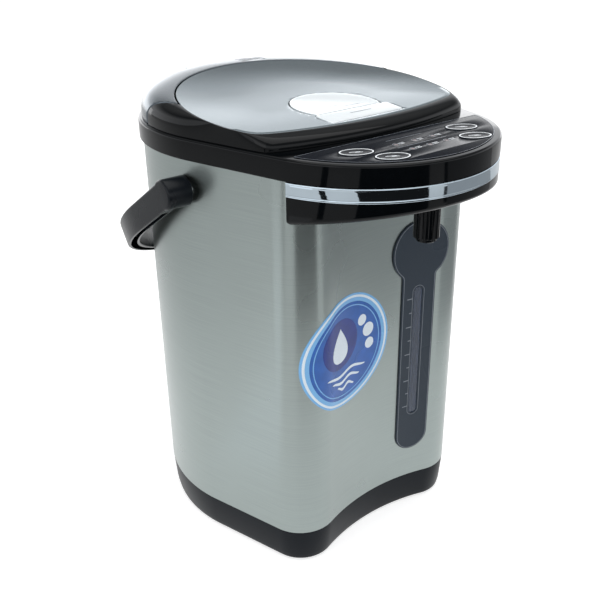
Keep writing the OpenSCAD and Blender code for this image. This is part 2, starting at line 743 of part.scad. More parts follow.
// the lid's arm dips under the edge of the shoulder and comes up to the hinge pin
module hinge_arm() {
  w = arm_w / 2;
  translate([0, hinge_y, hinge_z]) along_x(-barrel_w / 2, barrel_w / 2, knuckle_r);
  block(-w, w, hinge_y - 2.5, hinge_y + 2.5, hinge_z - neck_low, hinge_z);
  block(-w, w, plate_r - plate_fwd - 12, hinge_y + 2.5, hinge_z - neck_low, hinge_z - neck_low + arm_t);
}
// what the front edge of the shoulder would sweep, seen from the opening lid: a round about the hinge pin
function shoulder_edge(x) = sqrt(pow(plate_r + seam, 2) - pow(x, 2)) - plate_fwd;
function edge_swing(x) = norm([hinge_y - shoulder_edge(x), plane_z(shoulder_edge(x)) - hinge_z]);
swing_x = 60;
module edge_sweep(more) {
  translate([0, hinge_y, hinge_z]) rotate([0, 90, 0]) rotate_extrude()
    polygon(concat([[0, -swing_x]], [for (x = [-swing_x:10:swing_x]) [edge_swing(x) + more, x]],
      [[0, swing_x]]));
}
module under_plane(drop) {
  translate([0, 0, z_top + lid_rise - drop]) rotate([lid_fall, 0, 0])
    translate([-300, -300, -400]) cube([600, 600, 400]);
}
ear_w = 7;
module rear_shoulder() {
  color(black) difference() {
    union() {
      difference() {
        cap(0);
        cap(wall);
      }
      intersection() {
        cap(0.5);
        both_sides() block(barrel_w / 2 + 0.5, barrel_w / 2 + 0.5 + ear_w, hinge_y - 5, hinge_y + 5,
          hinge_z - 5, hinge_z + 20);
      }
    }
    plan(lid_part(seam), z_top - 2, z_top + 60);
    block(vent_x0 - 0.1, vent_x1 + 0.1, vent_y0 - 0.1, vent_y1 + 0.1, hinge_z, hinge_z + 60);
    translate([0, hinge_y, hinge_z]) along_x(-100, 100, pin_r);
  }
}
module hinge_pin() {
  color(bright) translate([0, hinge_y, hinge_z])
    along_x(-barrel_w / 2 - ear_w, barrel_w / 2 + ear_w, pin_r);
}
vent_x0 = 8;
vent_x1 = 32;
vent_y0 = body_r - 41;
vent_y1 = vent_y0 + 24;
vent_t = 2.1;
module vent_grille() {
  color(black) difference() {
    intersection() {
      block(vent_x0, vent_x1, vent_y0, vent_y1, hinge_z, hinge_z + 30);
      cap(0.1);
    }
    cap(vent_t);
    for (i = [0:3]) block(vent_x0 + 3, vent_x1 - 3, vent_y0 + 3.5 + i * 5, vent_y0 + 5.7 + i * 5,
      hinge_z - 1, hinge_z + 40);
  }
}
plate_t = 1.6;
well_r = 34;
well_y = 54;
well_flat = 67.5;
well_front = 71.7;
lever_back = 72;
lever_front = 89.5;
lever_w = 68;
module leaf_plan(o) {
  polygon([for (a = [0:lid_step:359])
    lid_eye + nearer(to_plate(a, o), to_front(a, plate_front + o), 3) * dir(a)]);
}
module well_plan(o) {
  translate([0, -well_y]) difference() {
    circle(r = well_r + o);
    translate([-50, -60 - (well_front - well_y) - o]) square([100, 60]);
  }
}
module lever_plan(o) {
  front = lever_front + 2.6 * o;
  translate([-lever_w / 2 - o, -front]) square([lever_w + 2 * o, front - lever_back + o]);
}
module lid_space(skin) {
  intersection() {
    cap(skin);
    plan(lid_part(-skin), z_top - 3, z_top + 60);
  }
}
module lid_cover() {
  color(black) difference() {
    union() {
      difference() {
        union() {
          difference() {
            lid_space(0);
            lid_space(wall);
          }
          // the rear wall, thicker where it is hollowed round the hinge
          intersection() {
            lid_space(0);
            edge_sweep(wall);
            block(-swing_x, swing_x, 40, 90, z_top + liner_h + 1, z_top + 60);
          }
        }
        edge_sweep(0.4);
      }
      hinge_arm();
    }
    // bed of the leaf plate, and the hole for the finger well
    difference() {
      translate([0, 0, z_top]) linear_extrude(60) leaf_plan(0.2);
      under_plane(plate_t);
    }
    translate([0, 0, z_top + 1]) linear_extrude(60) well_plan(-1.5);
    block(-groove_x - 1.6, groove_x + 1.6, -groove_front - 1.6, -well_flat + 2, z_top + 1, z_top + 60);
    at_latch() along_x(-latch_x, latch_x, latch_r);
    translate([0, hinge_y, hinge_z]) along_x(-100, 100, pin_r + 0.06);
    translate([0, 0, z_top + 2.2]) linear_extrude(60) lever_plan(0.5);
    // the steam leaves through the rear wall, under the vent
    block(vent_x0 + 12, vent_x1, plate_r - plate_fwd - 14, plate_r - plate_fwd + 2, z_top + 8, z_top + 16);
  }
}
module lid_top_plate() {
  color(leaf_grey) intersection() {
    translate([0, 0, z_top]) linear_extrude(60) difference() {
      leaf_plan(0);
      well_plan(0.3);
      lever_plan(0.5);
    }
    between_planes(0, plate_t);
  }
}
well_depth = 5.6;
groove_x = 29;
groove_front = 75;
module between_planes(drop0, drop1) {
  intersection() {
    difference() {
      under_plane(drop0);
      under_plane(drop1);
    }
    block(-200, 200, -200, 200, z_top - 20, z_top + 60);
  }
}
module finger_well() {
  color(bright) difference() {
    union() {
      intersection() {
        translate([0, 0, z_top]) linear_extrude(60) well_plan(0);
        between_planes(0.1, plate_t);
      }
      intersection() {
        block(-groove_x - 1.1, groove_x + 1.1, -groove_front - 1.1, -well_flat + 1.5, z_top, z_top + 60);
        between_planes(2.2, well_depth);
      }
      intersection() {
        block(-groove_x - 1.1, groove_x + 1.1, -well_flat, -well_flat + 1.5, z_top, z_top + 60);
        between_planes(1, well_depth);
      }
    }
    // shallow hand plate, with a groove along the lever and under its edge for the finger tips
    intersection() {
      translate([0, 0, z_top]) linear_extrude(60) well_plan(-0.8);
      between_planes(-1, 0.8);
    }
    intersection() {
      block(-groove_x, groove_x, -groove_front, -well_flat, z_top, z_top + 60);
      between_planes(-1, well_depth - 1.1);
    }
  }
}
plug_r = mouth_r - 7;
plug_z = z_rim - 11;
liner_h = 2.6;
valve_y = 20;
module lid_liner() {
  color(soft_black) difference() {
    union() {
      intersection() {
        lid_space(wall + 0.3);
        block(-200, 200, -200, 200, z_top + gap, z_top + liner_h);
      }
      ring(plug_r - wall, plug_r, plug_z, z_top + gap + 0.4);
    }
    translate([0, 0, plug_z + 1]) cylinder(r = plug_r - wall, h = 40);
    block(-hook_w / 2 - 1.5, hook_w / 2 + 1.5, -hook_front - 20, -84, z_top - 2, z_top + 5);
    // room for the arm of the lid
    block(-arm_w / 2 - 0.05, arm_w / 2 + 0.05, plate_r - plate_fwd - 12.05, 200, z_top - 2, z_top + 5);
    translate([0, valve_y, z_top - 2]) cylinder(r = 8, h = 8);
  }
}
module inner_lid() {
  color(bright) difference() {
    translate([0, 0, plug_z - 0.8]) cylinder(r = plug_r, h = 0.8);
    translate([0, valve_y, plug_z - 2]) cylinder(r = 6, h = 4);
  }
}
module lid_gasket() {
  color(silicone) ring(plug_r, mouth_r - 1.2, z_top - 4, z_top - 1.6);
}
module steam_valve() {
  color(silicone) difference() {
    union() {
      translate([0, valve_y, plug_z - 0.8]) cylinder(r = 6, h = 6);
      translate([0, valve_y, plug_z]) cylinder(r = 11, h = 3);
      translate([0, valve_y, plug_z + 5]) cylinder(r = 8, h = plane_z(valve_y) - plug_z - 12);
    }
    translate([0, valve_y, plug_z - 2]) cylinder(r = 3.5, h = 60);
    translate([0, valve_y, plug_z + 8]) cylinder(r = 6, h = 60);
  }
}

// ---- lid latch ----
latch_y = -87;
latch_z = plane_z(latch_y) - 3.6;
latch_r = 1.2;
latch_x = lever_w / 2 + 3;
module at_latch() {
  translate([0, latch_y, latch_z]) children();
}
module latch_lever() {
  color(bright) difference() {
    union() {
      intersection() {
        translate([0, 0, z_top + 3]) linear_extrude(60) lever_plan(0);
        between_planes(0, 1.4);
      }
      at_latch() both_sides() along_x(hook_w / 2 + 0.3, lever_w / 2 - 8, 2.6);
    }
    at_latch() along_x(-100, 100, latch_r + 0.05);
  }
}
module latch_hook() {
  color(soft_black) difference() {
    union() {
      intersection() {
        at_latch() along_x(-hook_w / 2, hook_w / 2, 2.4);
        under_plane(1.4);
      }
      block(-hook_w / 2, hook_w / 2, latch_y - 2, latch_y, latch_z - 4.5, latch_z);
      block(-hook_w / 2, hook_w / 2, -hook_front + 2.5, latch_y, latch_z - 4.5, latch_z - 2.9);
      block(-hook_w / 2, hook_w / 2, -hook_front + 2.5, -hook_front + 5, z_deck - 3.5, latch_z - 2.9);
      block(-hook_w / 2, hook_w / 2, -hook_front, -hook_front + 5, z_deck - 3.5, z_deck - 0.4);
    }
    at_latch() along_x(-100, 100, latch_r + 0.05);
  }
}
module latch_pin() {
  color(bright) at_latch() along_x(-latch_x, latch_x, latch_r);
}
module latch_spring() {
  color(bright) both_sides() at_latch() difference() {
    for (i = [0:6]) {
      along_x(27 + i * 0.8, 27.5 + i * 0.8, 1.9);
      along_x(27 + i * 0.8, 27.9 + i * 0.8, 1.6);
    }
    along_x(20, 40, latch_r);
  }
}

swivel_disc();
rubber_pads();
swivel_glides();
swivel_pin();
swivel_nut();
bottom_cover();
base_ring();
base_screws();
body_shell();
inner_pot();
rim_seal();
heat_shield();
band_heater();
heating_plate();
thermostats();
pump_housing();
impeller();
pump_motor();
suction_sleeve();
delivery_hose();
gauge_tube();
upper_sleeve();
spout_pipe();
nozzle();
gauge_panel();
gauge_window();
front_label();
collar();
chrome_strip();
chin();
control_panel();
button_1();
button_2();
button_3();
button_4();
circuit_board();
indicator_lights();
power_board();
inlet_socket();
inlet_pins();
handle_brackets();
handle_pins();
handle();
rear_shoulder();
vent_grille();
hinge_pin();
lid_cover();
lid_top_plate();
finger_well();
lid_liner();
inner_lid();
lid_gasket();
steam_valve();
latch_lever();
latch_hook();
latch_pin();
latch_spring();
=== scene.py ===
# %% [markdown]
# # An electric thermo pot
# The pot is a steel body with a hollow front, a glossy black collar with a nose, a hinged lid with a grey
# leaf-shaped plate, a water gauge and a carrying handle. Everything below is built round the packed
# model, which says where each piece sits and which body it moves with. Sizes are in millimetres until a
# mesh is made, because that is how such a pot is measured on the bench.

# %% The frame
import json
import math
import bpy
import bmesh
import numpy as np
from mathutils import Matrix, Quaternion, Vector

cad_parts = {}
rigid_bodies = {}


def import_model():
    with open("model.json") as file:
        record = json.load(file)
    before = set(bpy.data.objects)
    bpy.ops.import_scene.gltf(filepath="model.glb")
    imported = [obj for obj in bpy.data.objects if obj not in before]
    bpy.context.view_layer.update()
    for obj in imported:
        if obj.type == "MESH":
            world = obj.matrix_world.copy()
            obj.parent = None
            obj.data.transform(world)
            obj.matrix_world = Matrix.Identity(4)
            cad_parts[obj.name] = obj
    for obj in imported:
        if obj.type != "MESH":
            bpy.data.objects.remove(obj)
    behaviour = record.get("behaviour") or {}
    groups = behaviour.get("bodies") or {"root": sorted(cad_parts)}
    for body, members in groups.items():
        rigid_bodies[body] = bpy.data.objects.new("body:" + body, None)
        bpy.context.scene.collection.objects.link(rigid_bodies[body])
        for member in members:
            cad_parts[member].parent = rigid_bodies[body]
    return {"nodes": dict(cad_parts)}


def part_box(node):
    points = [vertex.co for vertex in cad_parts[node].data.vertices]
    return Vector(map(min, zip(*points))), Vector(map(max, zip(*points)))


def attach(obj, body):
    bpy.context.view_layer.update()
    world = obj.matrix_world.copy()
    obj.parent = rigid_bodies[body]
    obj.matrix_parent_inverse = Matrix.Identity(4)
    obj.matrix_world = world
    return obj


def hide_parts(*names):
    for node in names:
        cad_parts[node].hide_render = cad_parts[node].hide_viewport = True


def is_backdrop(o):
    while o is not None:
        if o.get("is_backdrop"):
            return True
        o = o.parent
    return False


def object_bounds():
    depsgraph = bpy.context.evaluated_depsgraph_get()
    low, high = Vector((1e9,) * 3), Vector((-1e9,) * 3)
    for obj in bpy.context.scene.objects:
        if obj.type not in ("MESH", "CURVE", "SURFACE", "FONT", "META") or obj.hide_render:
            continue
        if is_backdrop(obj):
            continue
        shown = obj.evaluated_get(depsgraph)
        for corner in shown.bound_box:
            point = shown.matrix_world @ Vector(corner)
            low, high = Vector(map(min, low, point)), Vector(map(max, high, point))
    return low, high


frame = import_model()
cad_low, cad_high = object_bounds()
MM = 0.001
print("packed size in mm:", [round(v / MM) for v in cad_high - cad_low])

# %% [markdown]
# ## The camera
# The picture is taken from the front left, well above the lid, from about 72 cm. A camera could be turned
# by hand, but a place, a point to look at and a small roll are easier to read and to change. The lens,
# long for this distance, is what makes the far rim nearly as wide as the near one.

# %% Camera
camera_place = Vector((-398.4, -511.3, 482.1))
camera_aim = Vector((5.1, -2.7, 170.8))
camera_roll = math.radians(-0.8)
camera_lens = 49.42

cam = bpy.data.objects.new("camera", bpy.data.cameras.new("camera"))
bpy.context.scene.collection.objects.link(cam)
bpy.context.scene.camera = cam
cam.data.lens = camera_lens
cam.data.clip_start = 0.02
cam.location = camera_place * MM
look = (camera_aim - camera_place).normalized()
cam.rotation_mode = "QUATERNION"
cam.rotation_quaternion = Quaternion(look, -camera_roll) @ look.to_track_quat("-Z", "Y")
print("camera stands", round((camera_aim - camera_place).length), "mm from the middle of the pot")

# %% [markdown]
# ## Heights and outlines
# Seen from above the steel body is a round rear, two rounded front corners and a shallow hollow between
# them. The collar has the same round rear and a smaller round nose. Both could be drawn by hand, but arcs
# that meet where they touch stay smooth at any size, and one outline can be grown or shrunk for every
# wall that follows it. The main sizes are read from the frame; the rest are the pot's own radii.

# %% Sizes of the body
def span(node):
    """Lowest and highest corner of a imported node, in millimetres."""
    low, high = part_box(node)
    return np.array(low) / MM, np.array(high) / MM

z_base = span("base_ring")[0][2]
z_body, z_collar = span("body_shell")[0][2], span("body_shell")[1][2]
z_top = span("collar")[1][2]
body_r = span("body_shell")[1][1]
collar_r = span("collar")[1][1]
lobe_r = 30
lobe_x, lobe_y = body_r - 51.5, body_r - 29
recess_r = 170
nose_r = collar_r - 20.5
nose_y = body_r - 31.5
sheet = 0.8
wall = 2.5
z_deck = z_top - wall
lobe_turn = math.degrees(math.atan2(lobe_x, lobe_y))
body_side = lobe_turn + math.degrees(math.acos((body_r - lobe_r) / math.hypot(lobe_x, lobe_y)))
recess_turn = math.degrees(math.asin(lobe_x / (lobe_r + recess_r)))
recess_y = lobe_y + (lobe_r + recess_r) * math.cos(math.radians(recess_turn))
nose_side = math.degrees(math.acos((collar_r - nose_r) / nose_y))
print("body from", round(z_body), "to", round(z_collar), "mm, collar top", round(z_top))

# %% Outlines
def heading(turn):
    """A direction in plan, turned from the front towards +X, in degrees."""
    a = np.radians(turn)
    return np.stack([np.sin(a), -np.cos(a)], axis=-1)

def arc(centre, radius, start, end, step=2.0):
    count = max(2, math.ceil(abs(end - start) / step))
    return np.array(centre) + radius * heading(np.linspace(start, end, count + 1))

def joined(*arcs):
    """Arcs that follow each other round, without the points that they share."""
    return np.concatenate([a[:-1] for a in arcs])

def body_outline(out=0.0):
    return joined(arc((lobe_x, -lobe_y), lobe_r + out, -recess_turn, body_side, 3),
        arc((0, 0), body_r + out, body_side, 360 - body_side),
        arc((-lobe_x, -lobe_y), lobe_r + out, 360 - body_side, 360 + recess_turn, 3),
        arc((0, -recess_y), recess_r - out, 180 + recess_turn, 180 - recess_turn, 1.5))

def collar_outline(out=0.0):
    return np.concatenate([arc((0, -nose_y), nose_r + out, -nose_side, nose_side),
        arc((0, 0), collar_r + out, nose_side, 360 - nose_side)])

def circle(radius, centre=(0, 0), count=96):
    return np.array(centre) + radius * heading(np.arange(count) * 360 / count)

def lifted(outline, z):
    return np.column_stack([outline, np.broadcast_to(z, len(outline))])

print("points round the body:", len(body_outline()), "round the collar:", len(collar_outline()))

# %% [markdown]
# ## Making meshes
# Nearly every shell here is a loft: the same outline at several heights and offsets, skinned with quads.
# A loft could be made with modifiers, but rings written out say exactly where the rounding of an edge
# starts. Plates are cut from flat sheet as filled curves with a rounded edge, and bent afterwards if need
# be.

# %% From rings to a piece
def smooth(piece, crease=35):
    piece.data.shade_smooth()
    piece.data.set_sharp_from_angle(angle=math.radians(crease))

def new_piece(name, points, faces, crease=35):
    mesh = bpy.data.meshes.new(name)
    mesh.from_pydata([tuple(p) for p in np.asarray(points, float) * MM], [], faces)
    bm = bmesh.new()
    bm.from_mesh(mesh)
    bmesh.ops.remove_doubles(bm, verts=bm.verts, dist=0.003 * MM)
    bmesh.ops.recalc_face_normals(bm, faces=bm.faces)
    bm.to_mesh(mesh)
    bm.free()
    piece = bpy.data.objects.new(name, mesh)
    bpy.context.scene.collection.objects.link(piece)
    smooth(piece, crease)
    return piece

def loft(name, rings, around=False, crease=35):
    """Skins rings of points. Around joins the last ring to the first; otherwise both ends close."""
    n, k = len(rings[0]), len(rings)
    faces = []
    for j in range(k if around else k - 1):
        a, b = j * n, (j + 1) % k * n
        faces += [(a + i, a + (i + 1) % n, b + (i + 1) % n, b + i) for i in range(n)]
    if not around:
        faces += [tuple(range(n))[::-1], tuple((k - 1) * n + i for i in range(n))]
    return new_piece(name, np.concatenate(rings), faces, crease)

def eased(corners, radius, steps=4, closed=True):
    """A profile with each corner drawn as a small curve of about that radius."""
    corners = np.array(corners, float)
    made = []
    for i, corner in enumerate(corners):
        if not closed and i in (0, len(corners) - 1):
            made.append(corner)
            continue
        sides = corners[i - 1] - corner, corners[(i + 1) % len(corners)] - corner
        lengths = [np.linalg.norm(side) for side in sides]
        start, end = [corner + side * (min(radius, long * 0.45) / max(long, 1e-9))
            for side, long in zip(sides, lengths)]
        for t in np.linspace(0, 1, steps + 1):
            made.append((1 - t) ** 2 * start + 2 * t * (1 - t) * corner + t * t * end)
    return np.array(made)

def prism(name, outline, low, high):
    return loft(name, [lifted(outline, low), lifted(outline, high)])

def box_piece(name, x0, x1, y0, y1, z0, z1):
    return prism(name, np.array([(x0, y0), (x1, y0), (x1, y1), (x0, y1)]), z0, z1)

print("mesh helpers ready")

# %% [markdown]
# Holes, slots and seams are cut with exact booleans, the way a real shell is punched after it is formed.
# Each tool disappears once it has cut. Edges are then broken with a small bevel: real moulded and pressed
# edges are never sharp, and it is the thin bright line on them that makes plastic look like plastic.

# %% Cutting, rounding and handing over
def baked(piece):
    bpy.context.view_layer.update()
    view = bpy.context.evaluated_depsgraph_get()
    mesh = bpy.data.meshes.new_from_object(piece.evaluated_get(view))
    piece.modifiers.clear()
    piece.data = mesh

def boolean(piece, tool, how):
    m = piece.modifiers.new("shape", "BOOLEAN")
    m.operation, m.solver, m.object = how, "EXACT", tool
    baked(piece)
    bpy.data.objects.remove(tool)
    return piece

def cut(piece, *tools):
    for tool in tools:
        boolean(piece, tool, "DIFFERENCE")
    return piece

def kept(piece, tool):
    return boolean(piece, tool, "INTERSECT")

def fused(piece, *others):
    for other in others:
        boolean(piece, other, "UNION")
    return piece

def broken_edges(piece, width, corner=40, steps=2, crease=35):
    m = piece.modifiers.new("edges", "BEVEL")
    m.width, m.segments = width * MM, steps
    m.limit_method, m.angle_limit = "ANGLE", math.radians(corner)
    baked(piece)
    smooth(piece, crease)
    return piece

def reshaped(piece, move):
    """Moves every point of a piece: move takes and returns an array of points in millimetres."""
    points = np.array([v.co for v in piece.data.vertices]) / MM
    piece.data.vertices.foreach_set("co", (move(points) * MM).astype(np.float32).ravel())
    piece.data.update()
    return piece

def hand_over(piece, body, slot, material, *nodes):
    piece.data.materials.clear()
    piece.data.materials.append(material)
    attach(piece, body)
    if nodes:
        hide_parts(*nodes)
    size = [round(v / MM, 1) for v in piece.dimensions]
    print(f"{piece.name}: {len(piece.data.polygons)} faces, {size} mm")
    return piece

# %% Flat plates
def cut_sheet(name, loops, thick, edge=0.3, edge_steps=2):
    """A flat plate from z 0 up: the outside loop and the loops of its holes, with rounded edges."""
    curve = bpy.data.curves.new(name, "CURVE")
    curve.dimensions, curve.fill_mode = "2D", "BOTH"
    curve.extrude = (thick / 2 - edge) * MM
    curve.bevel_depth, curve.bevel_resolution, curve.offset = edge * MM, edge_steps, -edge * MM
    for loop in loops:
        line = curve.splines.new("POLY")
        line.points.add(len(loop) - 1)
        line.use_cyclic_u = True
        flat = np.column_stack([np.array(loop) * MM, np.zeros(len(loop)), np.ones(len(loop))])
        line.points.foreach_set("co", flat.ravel())
    drawn = bpy.data.objects.new(name + "_line", curve)
    bpy.context.scene.collection.objects.link(drawn)
    bpy.context.view_layer.update()
    mesh = bpy.data.meshes.new_from_object(drawn.evaluated_get(bpy.context.evaluated_depsgraph_get()))
    points = np.array([v.co for v in mesh.vertices]) / MM + (0, 0, thick / 2)
    faces = [tuple(p.vertices) for p in mesh.polygons]
    bpy.data.objects.remove(drawn)
    return new_piece(name, points, faces)

def sliced(piece, axis, places):
    """Cuts a plate into strips at these places, so that it can bend there."""
    bm = bmesh.new()
    bm.from_mesh(piece.data)
    across = Vector([axis == i for i in range(3)])
    for place in places:
        parts = bm.verts[:] + bm.edges[:] + bm.faces[:]
        bmesh.ops.bisect_plane(bm, geom=parts, plane_co=across * place * MM, plane_no=across)
    bm.to_mesh(piece.data)
    bm.free()
    return piece

print("helpers for cutting and for flat plates ready")

# %% [markdown]
# ## Finishes
# Every surface of the pot has a grain: brushed steel, a paint with fine flakes, satin mouldings, polished
# mouldings that are never quite flat. One helper makes them all. A fine noise moves the tone and the
# surface together, and a broad one makes the gloss uneven, as handled plastic is. Values that are the
# same everywhere are set on the shader itself, so that they survive an export.

# %% One finish with its grain
def rgb(r, g, b):
    """A colour as it looks on a screen, 0 to 255, as the light values that the shader takes."""
    def light(v):
        return ((v / 255 + 0.055) / 1.055) ** 2.4 if v > 10 else v / 255 / 12.92
    return light(r), light(g), light(b), 1.0

def add_node(tree, kind, **values):
    node = tree.nodes.new("ShaderNode" + kind)
    for name, value in values.items():
        node.inputs[name.replace("_", " ")].default_value = value
    return node

def spread(tree, source, low, high):
    """Turns the middle of a noise into values from low to high."""
    node = add_node(tree, "MapRange", From_Min=0.3, From_Max=0.7, To_Min=low, To_Max=high)
    tree.links.new(source, node.inputs["Value"])
    return node.outputs["Result"]

def finish(name, colour, rough, tone=0.08, grain=700.0, depth=0.004, uneven=0.15, stretch=(1, 1, 1),
        **values):
    """Tone, gloss and surface with their grain; depth is in millimetres, values are the shader's own."""
    material = bpy.data.materials.new(name)
    material.use_nodes = True
    tree = material.node_tree
    shader = tree.nodes["Principled BSDF"]
    for socket, value in values.items():
        shader.inputs[socket.replace("_", " ")].default_value = value
    where = add_node(tree, "TexCoord").outputs["Object"]
    drawn = add_node(tree, "Mapping", Scale=stretch)
    tree.links.new(where, drawn.inputs["Vector"])
    fine = add_node(tree, "TexNoise", Scale=grain, Detail=3.0)
    tree.links.new(drawn.outputs["Vector"], fine.inputs["Vector"])
    broad = add_node(tree, "TexNoise", Scale=14.0, Detail=2.0)
    tree.links.new(where, broad.inputs["Vector"])
    tones = tree.nodes.new("ShaderNodeValToRGB")
    for stop, share, place in zip(tones.color_ramp.elements, (1 - tone, 1 + tone), (0.3, 0.7)):
        stop.position = place
        stop.color = [min(1, c * share) for c in colour[:3]] + [1]
    tree.links.new(fine.outputs["Fac"], tones.inputs["Fac"])
    tree.links.new(tones.outputs["Color"], shader.inputs["Base Color"])
    gloss = spread(tree, broad.outputs["Fac"], rough * (1 - uneven), rough * (1 + uneven))
    tree.links.new(gloss, shader.inputs["Roughness"])
    dent = add_node(tree, "Bump", Strength=1.0, Distance=depth * MM)
    tree.links.new(fine.outputs["Fac"], dent.inputs["Height"])
    tree.links.new(dent.outputs["Normal"], shader.inputs["Normal"])
    return material

# %% [markdown]
# The steel is brushed round the pot, so its hairlines are long in plan and very short in height, and its
# highlights stretch upright, across the hairlines. The same noise does that when it is squeezed in plan.
# The shoulder behind the lid is a dark lacquer with metal in it, which takes up the light of the room
# behind. The leaf plate is a grey metallic paint, and the film on the nose a dark print with a fine glitter.
# The palm plate and the lever are a near white under clear lacquer: a painted reflection, standing in for
# the bright sky that their polished tops mirror.

# %% Finishes of the outside
round_grain = (0.012, 0.012, 1.0)
brushed_steel = finish("brushed_steel", rgb(152, 161, 159), 0.29, tone=0.04, grain=1600.0, depth=0.0006,
    uneven=0.10, stretch=round_grain, Metallic=1.0, Anisotropic=0.55, Anisotropic_Rotation=0.25)
black_gloss = finish("black_gloss", rgb(6, 8, 10), 0.07, tone=0.10, grain=260.0, depth=0.0007, uneven=0.25,
    Specular_IOR_Level=0.17)
shoulder_lacquer = finish("shoulder_lacquer", rgb(88, 96, 102), 0.22, tone=0.06, grain=1400.0,
    depth=0.0007, uneven=0.10, Metallic=0.72, Specular_IOR_Level=0.42)
black_satin = finish("black_satin", rgb(15, 20, 26), 0.36, tone=0.14, grain=1500.0, depth=0.004,
    Specular_IOR_Level=0.14)
handle_black = finish("handle_black", rgb(12, 17, 22), 0.27, tone=0.12, grain=1500.0, depth=0.003,
    Specular_IOR_Level=0.17)
chrome = finish("chrome", rgb(186, 199, 208), 0.05, tone=0.02, grain=120.0, depth=0.0005, uneven=0.3,
    Metallic=1.0)
sheet_steel = finish("sheet_steel", rgb(198, 200, 200), 0.24, tone=0.04, grain=2200.0, depth=0.0012,
    stretch=round_grain, Metallic=1.0)
leaf_grey = finish("leaf_grey", rgb(134, 145, 150), 0.17, tone=0.04, grain=1400.0, depth=0.0007,
    uneven=0.08, Metallic=0.8, Specular_IOR_Level=0.2)
# Near white for the palm plate and the lever: painted reflection of a bright sky on their polished tops.
sky_reflection_white = finish("sky_reflection_white", rgb(242, 248, 250), 0.22, tone=0.02, grain=1500.0, depth=0.001,
    Metallic=0.15, Coat_Weight=0.4, Coat_Roughness=0.08)
# Grey for painted shade in the bottom of the finger groove.
groove_shade_grey = finish("groove_shade_grey", rgb(120, 127, 133), 0.35, tone=0.06, grain=1500.0, Metallic=0.5)
film_dark = finish("film_dark", rgb(24, 27, 33), 0.18, tone=0.55, grain=1500.0, depth=0.0004, uneven=0.2,
    Specular_IOR_Level=0.015)
slate = finish("slate", rgb(52, 60, 69), 0.30, tone=0.07, grain=1500.0, depth=0.002, Specular_IOR_Level=0.18)
print("finishes:", len(bpy.data.materials))

# %% Clear pieces and prints
smoked_clear = finish("smoked_clear", rgb(120, 135, 160), 0.06, tone=0.03, grain=90.0, depth=0.0004,
    Transmission_Weight=0.85, IOR=1.49, Specular_IOR_Level=0.4)
clear_glass = finish("clear_glass", rgb(235, 243, 245), 0.03, tone=0.01, grain=60.0, depth=0.0003,
    Transmission_Weight=1.0, IOR=1.47)
print_white = finish("print_white", rgb(236, 240, 243), 0.42, tone=0.04, grain=3000.0, depth=0.0006)
print_grey = finish("print_grey", rgb(128, 134, 142), 0.42, tone=0.06, grain=3000.0, depth=0.0006)
print("finishes:", len(bpy.data.materials))

# %% Finishes of the inside and the underside
silicone = finish("silicone", rgb(208, 208, 200), 0.48, tone=0.04, grain=900.0, depth=0.004,
    Subsurface_Weight=0.15, Subsurface_Scale=0.002)
black_rubber = finish("black_rubber", rgb(26, 26, 27), 0.72, tone=0.15, grain=1600.0, depth=0.010)
white_plastic = finish("white_plastic", rgb(226, 226, 220), 0.40, tone=0.03, grain=1300.0, depth=0.004)
circuit_green = finish("circuit_green", rgb(22, 92, 48), 0.34, tone=0.22, grain=420.0, depth=0.004)
lamp_red = finish("lamp_red", rgb(112, 62, 56), 0.14, tone=0.05, grain=500.0, depth=0.0006,
    Transmission_Weight=0.35, IOR=1.5)
mica_band = finish("mica_band", rgb(176, 148, 98), 0.44, tone=0.25, grain=160.0, depth=0.006,
    stretch=(1, 1, 3))
cast_aluminium = finish("cast_aluminium", rgb(176, 177, 180), 0.46, tone=0.10, grain=520.0, depth=0.03,
    Metallic=1.0)
brass_pins = finish("brass_pins", rgb(206, 168, 88), 0.24, tone=0.06, grain=900.0, depth=0.002,
    Metallic=1.0)
print("finishes:", len(bpy.data.materials))

# %% The direction of the hairlines
steel_tree = brushed_steel.node_tree
tangent = steel_tree.nodes.new("ShaderNodeTangent")
tangent.direction_type, tangent.axis = "RADIAL", "Z"
steel_tree.links.new(tangent.outputs["Tangent"], steel_tree.nodes["Principled BSDF"].inputs["Tangent"])
print("nodes in the brushed steel:", len(steel_tree.nodes))

# %% [markdown]
# ## The steel body
# The body is one sheet of brushed steel, rolled into the outline and joined at the back, where the two
# edges are folded over each other. It could be a solid with the inside scooped out; a wall of two
# outlines is the same thing and stays evenly thick round the corners. The sheet is pierced for the
# gauge's window, the spout, the mains inlet and the two handle pins.

# %% Places and cutters of the body
pivot_y, z_pivot, pivot_r = 25.0, z_collar - 22, 5.0
gauge_x, head_z, foot_z = 37.5, z_collar - 81.5, z_body + 28.6
window_low, window_high = foot_z + 36, head_z - 30.5
window_half = 3.8

def slot_outline(x, half, low, high):
    """An upright slot in x and z, with round ends."""
    return np.concatenate([arc((x, high - half), half, 90, 270, 15),
        arc((x, low + half), half, 270, 450, 15)])

def through_front(name, outline, near=-175.0, far=-60.0):
    """A cutter that runs front to back: the outline is x and z."""
    x, z = outline.T
    return loft(name, [np.column_stack([x, np.full(len(x), y), z]) for y in (near, far)])

def rod_x(name, x0, x1, radius, y, z, count=32):
    spokes = circle(radius, (y, z), count)
    return loft(name, [np.column_stack([np.full(count, x), spokes]) for x in (x0, x1)])

def wall_between(name, outline, out, inside, low, high):
    rings = [lifted(outline(out), low), lifted(outline(out), high),
        lifted(outline(inside), high), lifted(outline(inside), low)]
    return loft(name, rings, around=True)

print("handle pivots at", round(z_pivot), "mm, window from", round(window_low), "to", round(window_high), "mm")

